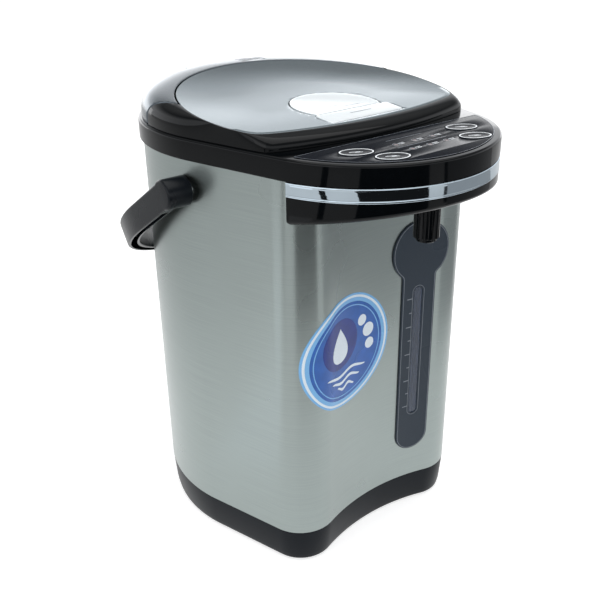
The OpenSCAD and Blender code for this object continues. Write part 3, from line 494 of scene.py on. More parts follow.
# %% Steel body
steel = wall_between("steel_body", body_outline, 0, -sheet, z_body, z_collar)
spout_gap = (-40, 48, -180, -60, z_collar - 28, z_collar + 2)
inlet_gap = (-18, 18, 60, 140, z_body + 6, z_body + 32)
pin_gap = 0.3
steel = cut(steel,
    through_front("cutter", slot_outline(gauge_x, window_half - 0.4, window_low, window_high)),
    box_piece("cutter", *spout_gap),
    box_piece("cutter", *inlet_gap),
    rod_x("cutter", -140, 140, pivot_r + pin_gap, -pivot_y, z_pivot))
smooth(steel, 30)
hand_over(steel, "pot", "brushed_steel", brushed_steel, "body_shell")

# %% Seam at the back
seam_half, seam_sunk = 5, 0.11
seam_x, seam_out = eased([(-seam_half, -0.2), (-seam_half, 0.55), (seam_half, 0.75), (seam_half, -0.2)],
    0.35, 3).T
seam_rows = [np.column_stack([seam_x, body_r + seam_out - seam_sunk, np.full(len(seam_x), z)])
    for z in (z_body + 37, z_collar - 1)]
hand_over(loft("body_seam", seam_rows), "pot", "brushed_steel", brushed_steel)

# %% [markdown]
# ## The base
# A black moulding carries the steel sheet in a rebate and draws in a little towards the table. Its lower
# edge is rounded so that it doesn't mark the table. It is lofted like the body, with the rebate and the
# ledge for the bottom cover in the same run of rings.

# %% Base
rebate_top = z_body + 6
ledge_in, ledge_low, ledge_top = -14, 11.5, 14
base_profile = [(-3.9, z_base), (-3.35, z_base + 0.15), (-2.95, z_base + 0.6), (-2.6, z_base + 2.0),
    (-1.8, z_base + 6), (-0.06, z_body - 0.7), (-0.12, z_body - 0.3), (-0.4, z_body), (-sheet, z_body),
    (-sheet, rebate_top), (-wall, rebate_top), (-wall, z_body), (-wall - 0.2, ledge_top),
    (ledge_in, ledge_top), (ledge_in, ledge_low), (-wall - 0.2, ledge_low), (-5, z_base)]
base = loft("base_band", [lifted(body_outline(o), z) for o, z in base_profile], around=True)
hand_over(base, "pot", "black_satin", black_satin, "base_ring")

# %% [markdown]
# ## The collar
# The collar closes the top of the pot. It is one glossy moulding: a skirt over the steel, a rounded rim,
# a flat deck for the panel, and the mouth that the lid plugs into. Lofting it from the outer outline to
# the round mouth keeps every ring at the same number of points, so the deck stays flat and the rim stays
# even.

# %% Collar
mouth_r, mouth_deep = 72.0, 6
rim_round, mouth_round = 1.8, 1.4

def mouth_circle(radius):
    points = collar_outline()
    return points * (radius / np.linalg.norm(points, axis=1))[:, None]

def rounding(turns, reach, top):
    """Offsets and heights of a quarter-round edge that ends at this height."""
    angles = np.radians(np.linspace(0, 90, turns + 1))
    return [(-reach * (1 - math.cos(a)), top - reach * (1 - math.sin(a))) for a in angles]

collar_rings = [lifted(collar_outline(-0.5), z_collar), lifted(collar_outline(0), z_collar + 0.5)]
collar_rings += [lifted(collar_outline(o), z) for o, z in rounding(7, rim_round, z_top)]
collar_rings += [lifted(mouth_circle(mouth_r - o), z) for o, z in rounding(4, mouth_round, z_top)[::-1]]
collar_rings += [lifted(mouth_circle(mouth_r + out), z)
    for out, z in ((0, z_top - mouth_deep), (wall, z_top - mouth_deep), (wall, z_deck))]
collar_rings += [lifted(collar_outline(-wall), z) for z in (z_deck, z_collar)]
collar = loft("collar_shell", collar_rings, around=True)

print("collar rings:", len(collar_rings))

# %% Holes in the deck
key_a, key_b, key_turn, key_gap = 12.0, 8.0, -25.0, 0.3
lamp_r = 1.6
key_spots = [(-50, -132), (-39, -154), (50, -132), (39, -154)]
lamp_spots = [(x * k, y) for k in (-1, 0, 1) for x, y in ((17.5, -135), (16, -149))]

def oval(spot, a, b, count=72, turn=key_turn):
    t = np.linspace(0, 2 * np.pi, count, endpoint=False)
    c, s = math.cos(math.radians(turn)), math.sin(math.radians(turn))
    x, y = a * np.cos(t), b * np.sin(t)
    return np.column_stack([spot[0] + c * x - s * y, spot[1] + s * x + c * y])

key_holes = [oval(spot, key_a + key_gap, key_b + key_gap) for spot in key_spots]
lamp_holes = [circle(lamp_r, spot, 24) for spot in lamp_spots]
hook_gap = (-9, 9, -105.5, -89.5)
through_deck = (z_deck - 2, z_top + 2)
holes = [prism("cutter", hole, *through_deck) for hole in key_holes + lamp_holes]
holes.append(box_piece("cutter", *hook_gap, *through_deck))
collar = cut(collar, *holes)
smooth(collar, 30)
hand_over(collar, "pot", "black_gloss", black_gloss, "collar")

# %% [markdown]
# ## The chrome strip and the chin
# Under the collar the nose has a bright strip, and under that a black chin that rises towards the front.
# The strip is a thin profile carried round the nose, a little hollow so that it catches the light in two
# lines. The chin is a tray with a sloping floor, so each ring takes its height from how far forward it
# is.

# %% Chrome strip
z_chrome = z_collar - 10
chin_y = lobe_y + lobe_r - 3
strip_turn = math.degrees(math.acos((chin_y - nose_y) / nose_r))

def carried_round(name, profile, half_turn, crease=35):
    """A profile of outward distance and height, carried round the nose."""
    turns = np.linspace(-half_turn, half_turn, 97)
    rings = [lifted((0, -nose_y) + (nose_r + profile[:, :1]) * heading(t), profile[:, 1]) for t in turns]
    return loft(name, rings, crease=crease)

strip_section = [(-1.5, 0.1), (0.15, 0.1), (0.4, 0.9), (0.18, 2), (0.1, 5), (0.18, 8), (0.4, 9.1),
    (0.15, 9.9), (-1.5, 9.9)]
strip_profile = eased([(out, z_chrome + up) for out, up in strip_section], 0.5, 3)
strip = carried_round("chrome_band", strip_profile, strip_turn, 50)
hand_over(strip, "pot", "chrome", chrome, "chrome_strip")

# %% Chin
chin_low, chin_lip = z_collar - 28, 1.6
chin_slope, chin_round = math.tan(math.radians(10)), 3.4
nozzle_y, nozzle_r = 150.0, 9.2

def chin_outline(out):
    """The nose in plan, closed by a straight rear edge."""
    rear = chin_y - out
    half = math.degrees(math.acos((rear - nose_y) / (nose_r + out)))
    nose = arc((0, -nose_y), nose_r + out, -half, half, half / 48)
    x = np.linspace(nose[-1][0], nose[0][0], 42)[1:-1]
    return np.vstack([nose, np.column_stack([x, np.full(len(x), -rear)])])

def chin_floor(points, up):
    """The chin's points on its sloping floor, this far above it."""
    return np.column_stack([points, chin_low + up + (-chin_y - 7 - points[:, 1]) * chin_slope])

chin_rings = [chin_floor(chin_outline(-chin_round * (1 - math.sin(a))), chin_round * (1 - math.cos(a)))
    for a in np.radians(np.linspace(0, 90, 8))]
chin_rings += [lifted(chin_outline(out), z)
    for out, z in ((0, z_chrome), (-chin_lip, z_chrome), (-chin_lip, z_collar), (-wall, z_collar))]
chin_rings += [chin_floor(chin_outline(-wall), 4), chin_floor(chin_outline(-wall - 1.5), wall)]
chin = loft("chin_shell", chin_rings)
chin = cut(chin, prism("cutter", body_outline(0.15), chin_low - 30, z_collar + 2),
    prism("cutter", circle(nozzle_r + 0.1, (0, -nozzle_y)), chin_low - 20, z_top),
    box_piece("cutter", 4, 44, -chin_y - wall - 1, -chin_y + 1, z_collar - 22, z_collar + 1))
smooth(chin, 30)
hand_over(chin, "pot", "black_gloss", black_gloss, "chin")

# %% [markdown]
# ## The nozzle
# The nozzle is a turned shape with upright flutes, so its rings' radius also depends on the turn. The
# flutes end before the chin hides them. A boolean with eighteen small rods would do the same, but the
# lofted flute has a soft edge, which is what shows as a bright line in the picture.

# %% Nozzle
nozzle_low = z_collar - 49
flute_count, flute_depth = 18, 0.55
bore_r, tip_bore_r = 3.2, 4.7

def nozzle_ring(radius, up, depth):
    """A ring of the nozzle, this far above its lower rim and with flutes of this depth."""
    turn = np.arange(flute_count * 10) * 360 / (flute_count * 10)
    groove = np.clip(np.cos(np.radians(turn * flute_count)) * 1.9 - 0.7, 0, 1)
    return lifted((0, -nozzle_y) + (radius - depth * groove)[:, None] * heading(turn), nozzle_low + up)

nozzle_profile = [(tip_bore_r, -2.5, 0), (6.7, -2.5, 0), (7.2, -2.0, 0), (7.2, -0.1, 0),
    (8.6, 0, flute_depth), (9.1, 0.4, flute_depth), (nozzle_r, 1.0, flute_depth),
    (nozzle_r, 22, flute_depth), (nozzle_r, 24, 0), (nozzle_r, 33, 0), (bore_r, 33, 0),
    (bore_r, 9.5, 0), (tip_bore_r, 9.5, 0)]
nozzle = loft("spout_nozzle", [nozzle_ring(*row) for row in nozzle_profile], around=True, crease=40)
hand_over(nozzle, "pot", "black_gloss", black_gloss, "nozzle")

# %% [markdown]
# ## The water gauge
# The gauge is a dark plate shaped like a keyhole, with a clear window over the level tube. It is cut from
# flat sheet as a filled curve, which gives it an even rounded edge, and then bent onto the hollow front.
# Bending needs points along the bend, so the sheet is first sliced into narrow strips.

# %% Bending onto the front
def front_face(x, out):
    """How far forward the front of the body is at this x, for a surface this far outside the steel."""
    x = np.abs(x)
    hollow = -recess_y + np.sqrt(np.maximum((recess_r - out) ** 2 - x ** 2, 0))
    lobe = -lobe_y - np.sqrt(np.maximum((lobe_r + out) ** 2 - (x - lobe_x) ** 2, 0))
    return np.where(x <= (recess_r - out) * math.sin(math.radians(recess_turn)), hollow, lobe)

def bent_to_front(piece, lift=0.0, strip=2.0):
    points = np.array([v.co for v in piece.data.vertices]) / MM
    sliced(piece, 0, np.arange(points[:, 0].min() + strip, points[:, 0].max() - 0.3, strip))
    reshaped(piece, lambda p: np.column_stack([p[:, 0], front_face(p[:, 0], p[:, 2] + lift), p[:, 1]]))
    smooth(piece, 30)
    return piece

print("the hollow is", round(float(front_face(0, 0) - front_face(lobe_x, 0)), 1), "mm deep in the middle")

# %% Gauge plate and pane
gauge_half, head_r, neck_round = 14.7, 25.0, 5.0
neck_turn = math.degrees(math.asin((gauge_half + neck_round) / (head_r + neck_round)))
neck_drop = (head_r + neck_round) * math.cos(math.radians(neck_turn))

def keyhole(out=0.0):
    """The keyhole in x and z: a round foot, a straight stem, and a round head joined by small hollows."""
    half, head, hollow = gauge_half + out, head_r + out, neck_round - out
    neck_x, neck_z = gauge_half + neck_round, head_z - neck_drop
    right = arc((gauge_x + neck_x, neck_z), hollow, -90, -180 + neck_turn, 8)
    left = arc((gauge_x - neck_x, neck_z), hollow, 180 - neck_turn, 90, 8)
    return np.concatenate([arc((gauge_x, foot_z + gauge_half), half, -90, 90, 5), right,
        arc((gauge_x, head_z), head, neck_turn, 360 - neck_turn, 4), left])

panel_t = 1.5
window = slot_outline(gauge_x, window_half, window_low, window_high)
gauge = bent_to_front(cut_sheet("gauge_plate", [keyhole(), window], panel_t, 0.45, 3))
hand_over(gauge, "pot", "gauge_grey", slate, "gauge_panel")
pane_gap, pane_t = 0.1, 1.2
pane_loop = slot_outline(gauge_x, window_half - pane_gap, window_low + pane_gap, window_high - pane_gap)
pane = cut_sheet("gauge_glass", [pane_loop], pane_t, 0.35, 3)
hand_over(bent_to_front(pane, strip=1.2), "pot", "clear", smoked_clear, "gauge_window")

# %% [markdown]
# The gauge plate has a thin line along its edge and another round the window, and a row of level marks
# beside it. They are printed on the real one; here each is a very thin sheet of its own, bent on top of
# the plate, because a print with its own edge stays crisp at any distance. Behind the level tube stands a
# dark trough, which is what makes the water line readable.

# %% Prints on the gauge
def ribbon(outline, width):
    """An outline and the same outline drawn in by a width, as the two loops of a thin line."""
    around = np.roll(outline, -1, axis=0) - np.roll(outline, 1, axis=0)
    inward = np.column_stack([-around[:, 1], around[:, 0]]) / np.linalg.norm(around, axis=1)[:, None]
    return [outline, outline + inward * width]

def bar(x, z, long, high):
    return np.array([(x - long / 2, z - high / 2), (x + long / 2, z - high / 2),
        (x + long / 2, z + high / 2), (x - long / 2, z + high / 2)])

print_edge = 0.012

def printed(name, loops, lift, material, slot, thick=0.06):
    sheet_piece = cut_sheet(name, loops, thick, print_edge, 1)
    return hand_over(bent_to_front(sheet_piece, lift), "pot", slot, material)

def level_mark(k):
    """Every other mark is a short one, a little nearer the window."""
    shift, long = ((0, 5.0), (1.2, 2.6))[k % 2]
    return bar(gauge_x - 7.6 + shift, window_low + 8 + k * 12.4, long, 0.7)

line_out = 1.5
window_line = slot_outline(gauge_x, window_half + line_out, window_low - line_out, window_high + line_out)
for name, loops in (("gauge_rim_line", ribbon(keyhole(-0.9), 0.35)),
        ("gauge_marks", [level_mark(k) for k in range(9)]), ("gauge_window_line", ribbon(window_line, 0.3))):
    printed(name, loops, panel_t, print_grey, "white_plastic")

# %% The trough behind the level tube
tube_behind, trough_in, trough_out = 6.2, 5.6, 6.6
trough_low, trough_high = 92.0, 215.0
tube_x, tube_y = gauge_x, recess_y - math.sqrt((recess_r + tube_behind) ** 2 - gauge_x ** 2)
trough_turns = np.linspace(95, 265, 25)
trough = np.vstack([(tube_x, -tube_y) + r * heading(turns)
    for r, turns in ((trough_in, trough_turns), (trough_out, trough_turns[::-1]))])
hand_over(prism("gauge_trough", trough, trough_low, trough_high), "pot", "black_satin", black_satin)

# %% [markdown]
# ## The round label
# A blue film label sits on the hollow front beside the gauge. Its print here is a plain one in the same
# kind of colours: a pale disc with a white ring and a blue field, a white water drop on a deep blue
# round, three waves and three small rounds. Each colour is a film bent onto the steel, one a hair above
# the other, as in a printed label. A painted texture would do as well, but films keep their edges in any
# export.

# %% Label
label_x, label_z = -36.0, z_body + 149
label_at, label_r, label_t, film_step = (label_x, label_z), 46.0, 0.25, 0.05
drop_r, rounds_reach = 20.5, 26.5
label_pale = finish("label_pale", rgb(120, 178, 226), 0.30, tone=0.05, grain=1400.0, depth=0.0008)
label_blue = finish("label_blue", rgb(38, 92, 170), 0.28, tone=0.12, grain=120.0, depth=0.0006)
label_deep = finish("label_deep", rgb(24, 48, 128), 0.28, tone=0.15, grain=90.0, depth=0.0006)
label_white = finish("label_white", rgb(222, 232, 240), 0.32, tone=0.03, grain=1200.0, depth=0.0006)

def drop_outline(centre, size):
    """A water drop: a round foot and a point at the top."""
    t = np.linspace(0, 2 * np.pi, 72, endpoint=False)
    return np.column_stack([centre[0] + size * np.sin(t) * np.sin(t / 2) ** 1.2,
        centre[1] + size * 1.15 * np.cos(t)])

def wave_outline(centre, long, thick, swing, turns=1.5):
    x = np.linspace(-long / 2, long / 2, 49)
    y = swing * np.sin(x / long * 2 * np.pi * turns)
    half = thick / 2 * np.sqrt(np.clip(1 - (2 * x / long) ** 4, 0.01, 1))
    top, low = np.column_stack([x, y + half]), np.column_stack([x, y - half])[::-1]
    return np.vstack([top, low]) + centre

def label_circles(*insets):
    return [circle(label_r - inset, label_at, 120) for inset in insets]

label = cut_sheet("round_label", label_circles(0), label_t, 0.05, 1)
hand_over(bent_to_front(label), "pot", "label_blue", label_pale, "front_label")
drop_field = [circle(drop_r, (label_x - 8, label_z + 9), 96)]
drop = [drop_outline((label_x - 8, label_z + 8), 12.5)]
waves = [wave_outline(np.array((label_x - 1, label_z - 17 - k * 6.0)), 46 - k * 13, 2.4, 1.5)
    for k in range(3)]
rounds = [circle(r, (label_x + rounds_reach * math.cos(a), label_z + rounds_reach * math.sin(a)), 40)
    for r, a in zip((4.6, 5.8, 4.6), np.radians((-6, 21, 48)))]
for name, loops, films_below, material in (
        ("label_ring", label_circles(1.6, 3.4), 0, label_white),
        ("label_field", label_circles(6.5), 0, label_blue),
        ("label_inner_line", label_circles(9.0, 9.8), 1, label_pale),
        ("label_drop_field", drop_field, 1, label_deep),
        ("label_drop", drop, 2, label_white),
        ("label_waves", waves, 2, label_white),
        ("label_rounds", rounds, 2, label_white)):
    printed(name, loops, label_t + films_below * film_step, material, "label_blue", film_step)

# %% [markdown]
# ## The panel on the nose
# A dark film with a fine glitter lies on the deck of the nose. Four oval keys come up through it, each
# with a pale ring and a short sign printed on it, and six small lamps shine through in two rows with
# marks beside them. The film is a sheet with the keys' and lamps' holes cut out, and the keys are lofted
# with a soft crown. The prints on a key ride with it, because they go down when it is pressed.

# %% Panel film
film_t, film_in = 0.5, 5.4
film_back = body_r - 2

def nose_outline(out, rear):
    """The nose in plan as far back as the rear edge, with the corners a little rounded."""
    half = math.degrees(math.acos((rear - nose_y) / (nose_r + out)))
    nose = arc((0, -nose_y), nose_r + out, -half, half, half / 48)
    rear_edge = [nose[-3], (nose[-1][0], -rear), (0, -rear), (nose[0][0], -rear), nose[2]]
    return np.vstack([nose[2:-3], eased(rear_edge, 2.5, 5, closed=False)[:-1]])

def on_deck(name, loops, thick, low, slot, material, *nodes, edge=print_edge):
    flat = reshaped(cut_sheet(name, loops, thick, edge, 2), lambda p: p + (0, 0, low))
    smooth(flat, 30)
    return hand_over(flat, "pot", slot, material, *nodes)

film_loops = [nose_outline(-film_in, film_back)] + key_holes + lamp_holes
on_deck("panel_film", film_loops, film_t, z_top, "panel_grey", film_dark, "control_panel", edge=0.12)
film_top, print_t = z_top + film_t, 0.04
rim_line = ribbon(nose_outline(-film_in - 0.1, film_back + 0.4), 0.3)
on_deck("panel_rim_line", rim_line, print_t, film_top, "panel_grey", print_grey)

# %% Marks on the film
lamp_rings = [circle(r, spot, 28) for spot in lamp_spots for r in (2.5, 2.05)]
on_deck("panel_lamp_rings", lamp_rings, print_t, film_top, "white_plastic", print_grey)

def turned_bar(x, y, long, high, turn=0.0):
    c, s = math.cos(math.radians(turn)), math.sin(math.radians(turn))
    return bar(0, 0, long, high) @ np.array([(c, s), (-s, c)]) + (x, y)

lamp_marks = [turned_bar(x + 5.2, y + dy, 5.0 - k, 0.7) for x, y in lamp_spots
    for k, dy in enumerate((1.0, -0.9))]
on_deck("panel_marks", lamp_marks, print_t, film_top, "white_plastic", print_white)
dividers = [turned_bar(0, y, long, 0.45) for y, long in ((-142, 46), (-125, 34))]
on_deck("panel_divider", dividers, print_t, film_top, "white_plastic", print_grey)

# %% Keys
key_profile = [(1.2, z_deck - 1.5), (1.2, z_deck - 0.35), (0, z_deck - 0.3), (0, film_top - 0.15),
    (-0.15, film_top + 0.1), (-0.5, film_top + 0.28), (-1.4, film_top + 0.38), (-3.5, film_top + 0.26),
    (-6.0, film_top + 0.18)]
key_print_t, sign_up, ring_up = 0.12, 0.24, 0.31
for number, spot in enumerate(key_spots, 1):
    body = f"key_{number}"
    key_rings = [lifted(oval(spot, key_a + o, key_b + o), z) for o, z in key_profile]
    hand_over(loft(body + "_cap", key_rings, crease=50), body, "panel_grey", film_dark, f"button_{number}")
    sign = [turned_bar(spot[0] - 1, spot[1] + 0.6, 7.5, 0.8, key_turn),
        turned_bar(spot[0] + 1, spot[1] - 1.4, 5.0, 0.8, key_turn)]
    ring = [oval(spot, key_a - inset, key_b - inset) for inset in (0.45, 1.45)]
    for kind, loops, up in (("_sign", sign, sign_up), ("_ring", ring, ring_up)):
        on_key = cut_sheet(body + kind, loops, key_print_t, 0.02, 1)
        reshaped(on_key, lambda p: p + (0, 0, film_top + up))
        hand_over(on_key, body, "white_plastic", print_white)

# %% [markdown]
# ## The rounded top
# The lid and the shoulder behind it share one rounded form: it starts just inside the collar's rim and
# swells in to the edge of the leaf, up to a plane that falls towards the front. Each ring is drawn from
# an eye in the middle of the lid, so any direction meets the form once. The two mouldings are then cut
# from it along the seam, which is why they line up so well on the real pot.

# %% The form of the top
lid_fall, lid_rise = math.tan(math.radians(5.4)), 18.0
lid_eye = np.array((0.0, -20.0))
lid_turns = np.arange(0, 360, 2.0)
plate_r, plate_fwd, plate_front = body_r - 9.5, 35.5, 97.0
front_r, front_edge = 342.0, plate_front + 12
form_top = span("rear_shoulder")[1][2] - 0.02

def plane_z(y):
    return z_top + lid_rise + np.asarray(y) * lid_fall

def to_circle(turns, centre, radius):
    """How far a line from the lid's eye runs before it leaves a circle."""
    d, u = lid_eye - np.array(centre), heading(turns)
    b = u @ d
    return np.sqrt(np.maximum(b * b - d @ d + radius ** 2, 0)) - b

def to_collar(turns, out):
    """The same to the collar's edge: its two circles, and the straight side between them."""
    u = heading(turns)
    a = math.radians(nose_side)
    n = np.column_stack([np.sign(u[:, 0]) * math.sin(a), np.full(len(u), -math.cos(a))])
    s = (collar_r + out - n @ lid_eye) / np.maximum((u * n).sum(axis=1), 0.001)
    y = lid_eye[1] + s * u[:, 1]
    straight = (y < -math.cos(a) * collar_r) & (y > -nose_y - math.cos(a) * nose_r)
    round_rear = to_circle(turns, (0, 0), collar_r + out)
    round_nose = to_circle(turns, (0, -nose_y), nose_r + out)
    return np.where(straight, s, np.maximum(round_rear, round_nose))

def to_plate(turns, out):
    return to_circle(turns, (0, -plate_fwd), plate_r + out)

def to_front(turns, y):
    return to_circle(turns, (0, front_r - y), front_r)

def nearer(p, q, soft=3.0):
    """The nearer of two distances, with the corner between them rounded."""
    return 100 - soft * np.log(np.exp((100 - p) / soft) + np.exp((100 - q) / soft))

def from_eye(distance, turns=lid_turns):
    return lid_eye + distance[:, None] * heading(turns)

print("from the lid's eye to the front of the leaf:", round(float(to_front(0.0, plate_front))), "mm")

# %% Rings of the top
def form_ring(rise, inward, skin):
    """A ring of the top, from 0 at the rim to 1 at the plane; skin is how far inside the surface it lies."""
    front = inward * plate_front + (1 - inward) * front_edge - skin
    low = to_collar(lid_turns, -3 - skin)
    high = to_plate(lid_turns, 1 - skin)
    plan = from_eye(nearer(low + (high - low) * inward, to_front(lid_turns, front)))
    foot = z_top + 0.3 - (1 if skin else 0)
    height = foot + (plane_z(plan[:, 1]) - 1.6 * skin - foot) * rise
    return lifted(plan, np.minimum(height, form_top - 1.6 * skin))

side_turns = np.radians(np.concatenate([[0, 6], np.linspace(12, 84, 13), [87, 90]]))
side_rings = [(math.sin(t) ** (2 / 3.4), 1 - max(math.cos(t), 0) ** (2 / 2.2)) for t in side_turns]

def top_form(name, skin=0.0):
    return loft(name, [form_ring(rise, inward, skin) for rise, inward in side_rings])

print("height of the lid at the front and at the back, mm:", plane_z(-100).round(1), plane_z(70).round(1))

# %% The seam between lid and shoulder
horn_y, horn_back = -5.0, 27.0
horn_x = math.sqrt(plate_r ** 2 - (horn_y + plate_fwd) ** 2)
horn_turn = math.degrees(math.atan2(horn_x, -(horn_y + plate_fwd)))
hinge_y, knuckle_r, barrel_half, arm_half = 82.0, 3.6, 33.0, 14.0
hinge_z = float(plane_z(hinge_y)) - 9.5
seam_w = 1.5

def grown(outline, out):
    """An outline moved out on all sides, corner by corner."""
    def side(p, q):
        d = (q - p) / np.linalg.norm(q - p, axis=1)[:, None]
        return np.column_stack([d[:, 1], -d[:, 0]])
    a = side(np.roll(outline, 1, axis=0), outline)
    b = np.roll(a, -1, axis=0)
    return outline + out * (a + b) / (1 + (a * b).sum(axis=1))[:, None]

def lifting_part(out):
    """A cutter that holds all of the top that lifts, with its outline moved out or in."""
    rear = arc((0, -plate_fwd), plate_r, horn_turn, 360 - horn_turn, 3)
    wide, side_x = 160, collar_r - 5
    outline = np.vstack([[(-wide, -wide), (wide, -wide), (wide, horn_back + 14), (side_x, horn_back)],
        rear, [(-side_x, horn_back), (-wide, horn_back + 14)]])
    return prism("seam_cutter", grown(outline, out), z_top - 6, z_top + 60)

def turned_x(name, profile, centre_y, centre_z, count=64):
    """A turned piece on an axis along X: rows of x and radius."""
    return loft(name, [np.column_stack([np.full(count, x), circle(r, (centre_y, centre_z), count)])
        for x, r in profile])

def edge_sweep(more):
    """The round that the shoulder's front edge would sweep, seen from the opening lid."""
    x = np.linspace(-60, 60, 25)
    y = np.sqrt((plate_r + seam_w) ** 2 - x ** 2) - plate_fwd
    reach = np.hypot(hinge_y - y, plane_z(y) - hinge_z) + more
    return turned_x("sweep", list(zip(x, reach)), hinge_y, hinge_z, 96)

print("hinge at", hinge_y, round(hinge_z, 1), "mm")

# %% [markdown]
# The rear shoulder stays on the pot, and its edge follows the back of the leaf. Two ears inside it hold
# the hinge pin, which is pushed in from the side through a small hole in each end of the shoulder. The
# steam vent is a small grille in it, a little to one side. The grille is cut from the same form, so it
# lies flush.

# %% Rear shoulder
shoulder = cut(top_form("rear_cap"), top_form("inside", wall))
ear_t, ear_half, ear_up = 7, 5, 8.2
ears = [box_piece("ear", x, x + ear_t, hinge_y - ear_half, hinge_y + ear_half, hinge_z - ear_half,
    hinge_z + ear_up) for x in (barrel_half + 0.5, -barrel_half - 0.5 - ear_t)]
shoulder = fused(shoulder, *ears)
vent_x, vent_y, vent_gap, hinge_pin_r = (8.0, 32.0), (74.0, 98.0), 0.1, 1.75
vent_hole = (vent_x[0] - vent_gap, vent_x[1] + vent_gap, vent_y[0] - vent_gap, vent_y[1] + vent_gap)
shoulder = cut(shoulder, lifting_part(seam_w), box_piece("cutter", *vent_hole, hinge_z, hinge_z + 60),
    rod_x("cutter", -100, 100, hinge_pin_r, hinge_y, hinge_z))
broken_edges(shoulder, 0.35, 55)
hand_over(shoulder, "pot", "black_gloss", shoulder_lacquer, "rear_shoulder")

# %% Vent grille
vent_t, vent_rim, slot_w, slot_pitch = 2.1, 3, 2.2, 5
vent_block = box_piece("cutter", *vent_x, *vent_y, hinge_z, hinge_z + 30)
vent = kept(top_form("vent_grille_plate", 0.1), vent_block)
vent_slots = [box_piece("cutter", vent_x[0] + vent_rim, vent_x[1] - vent_rim, y, y + slot_w, hinge_z - 1,
    hinge_z + 40) for y in vent_y[0] + 3.5 + slot_pitch * np.arange(4)]
vent = cut(vent, top_form("inside", vent_t), *vent_slots)
broken_edges(vent, 0.3, 50)
hand_over(vent, "pot", "black_gloss", shoulder_lacquer, "vent_grille")

# %% [markdown]
# ## The lid
# The lid's cover is the front part of the same form, hollow inside. It has a bed for the leaf plate, an
# opening for the finger groove and the lever, and at the back an arm that dips under the shoulder's edge
# and comes up to the hinge pin. The wall next to the shoulder is scooped round the hinge: it is cut with
# the round that the shoulder's edge sweeps, seen from the lid, so that the lid can turn past it.

# %% Outlines on the lid
well_y, well_r, well_front, well_flat = 54.0, 34.0, 71.7, 67.5
groove_x, groove_front, groove_depth = 29.0, 75.0, 5.6
lever_half, lever_back, lever_front = 34.0, 72.0, 89.5
latch_y = -87.0
latch_z = float(plane_z(latch_y)) - 3.6
leaf_t = 1.6

def leaf_outline(out):
    return from_eye(nearer(to_plate(lid_turns, out), to_front(lid_turns, plate_front + out)))

def sloped(name, outline, low, high):
    """A prism whose two ends follow the lid's falling plane, this far below it."""
    return loft(name, [np.column_stack([outline, plane_z(outline[:, 1]) - drop]) for drop in (low, high)])

def rectangle(x, y0, y1):
    return np.array([(-x, y0), (x, y0), (x, y1), (-x, y1)])

def well_outline(out):
    """A half-round, open to the front: a circle cut by a straight edge."""
    edge = well_front - well_y + out
    half = math.degrees(math.acos(edge / (well_r + out)))
    return arc((0, -well_y), well_r + out, half, 360 - half, 4)

def lever_outline(out):
    return rectangle(lever_half + out, -lever_front - 2.6 * out, -lever_back + out)

print("palm plate", round(2 * well_r), "mm wide, lever", round(2 * lever_half), "mm wide")

# %% Shell of the lid
lid = kept(top_form("lid_shell"), lifting_part(0.0))
lid = cut(lid, kept(top_form("inside", wall), lifting_part(-wall)))
rear_wall = kept(kept(top_form("rear_wall"), lifting_part(0.0)), edge_sweep(wall))
rear_wall = kept(rear_wall, box_piece("cutter", -60, 60, 40, 90, z_top + 3.6, z_top + 60))
lid = cut(fused(lid, rear_wall), edge_sweep(0.4))

# %% Hinge arm and openings of the lid
neck_half, neck_low, tongue_top = 2.5, hinge_z - 15.4, hinge_z - 13
leaf_back = plate_r - plate_fwd
barrel_rows = [(-barrel_half, knuckle_r - 0.4), (-barrel_half + 0.4, knuckle_r),
    (barrel_half - 0.4, knuckle_r), (barrel_half, knuckle_r - 0.4)]
arm = fused(turned_x("arm", barrel_rows, hinge_y, hinge_z, 48),
    box_piece("neck", -arm_half, arm_half, hinge_y - neck_half, hinge_y + neck_half, neck_low, hinge_z),
    box_piece("tongue", -arm_half, arm_half, leaf_back - 12, hinge_y + neck_half, neck_low, tongue_top))
lid = fused(lid, arm)
through, above, latch_pin_r, pin_fit = 20, -40, 1.25, 0.06
lid = cut(lid, sloped("bed", leaf_outline(0.12), leaf_t, above),
    sloped("bed_window", leaf_outline(-8), 7, above),
    sloped("groove", rectangle(groove_x + 1.6, -groove_front - 1.6, -well_flat + 2), through, above),
    sloped("palm", well_outline(-1.5), through, above),
    sloped("bar", lever_outline(0.5), through, above),
    rod_x("cutter", -37, 37, latch_pin_r, latch_y, latch_z),
    rod_x("cutter", -100, 100, hinge_pin_r + pin_fit, hinge_y, hinge_z),
    box_piece("cutter", vent_x[0] + 12, vent_x[1], leaf_back - 14, leaf_back + 2, z_top + 8, z_top + 16))
broken_edges(lid, 0.3, 55)
hand_over(lid, "lid", "black_gloss", black_gloss, "lid_cover")

# %% [markdown]
# The leaf is a pressed plate in grey paint. Its edge stands up to the plane of the lid and its middle
# lies almost 4 mm lower at the rear and about a third of that beside the lever, so the light slides over
# it and leaves a darker band along the rear edge. A bump in the finish would not bend the light that far,
# so the dish is real shape. The rings step in from the edge and sink as they go, and then run to the
# middle.

# %% Leaf plate
dish_deep, dish_wide = 3.9, 54.0

def leaf_ring(inset, drop, share=1.0, sink=0.0):
    """A ring of the leaf. It sinks fully at the rear and a third as much beside the lever."""
    plan = lid_eye + (leaf_outline(-inset) - lid_eye) * share
    rear = np.clip((plan[:, 1] + 90) / 100, 0, 1)
    sunk = sink * (0.3 + 0.7 * rear * rear * (3 - 2 * rear))
    return np.column_stack([plan, plane_z(plan[:, 1]) - drop - sunk])

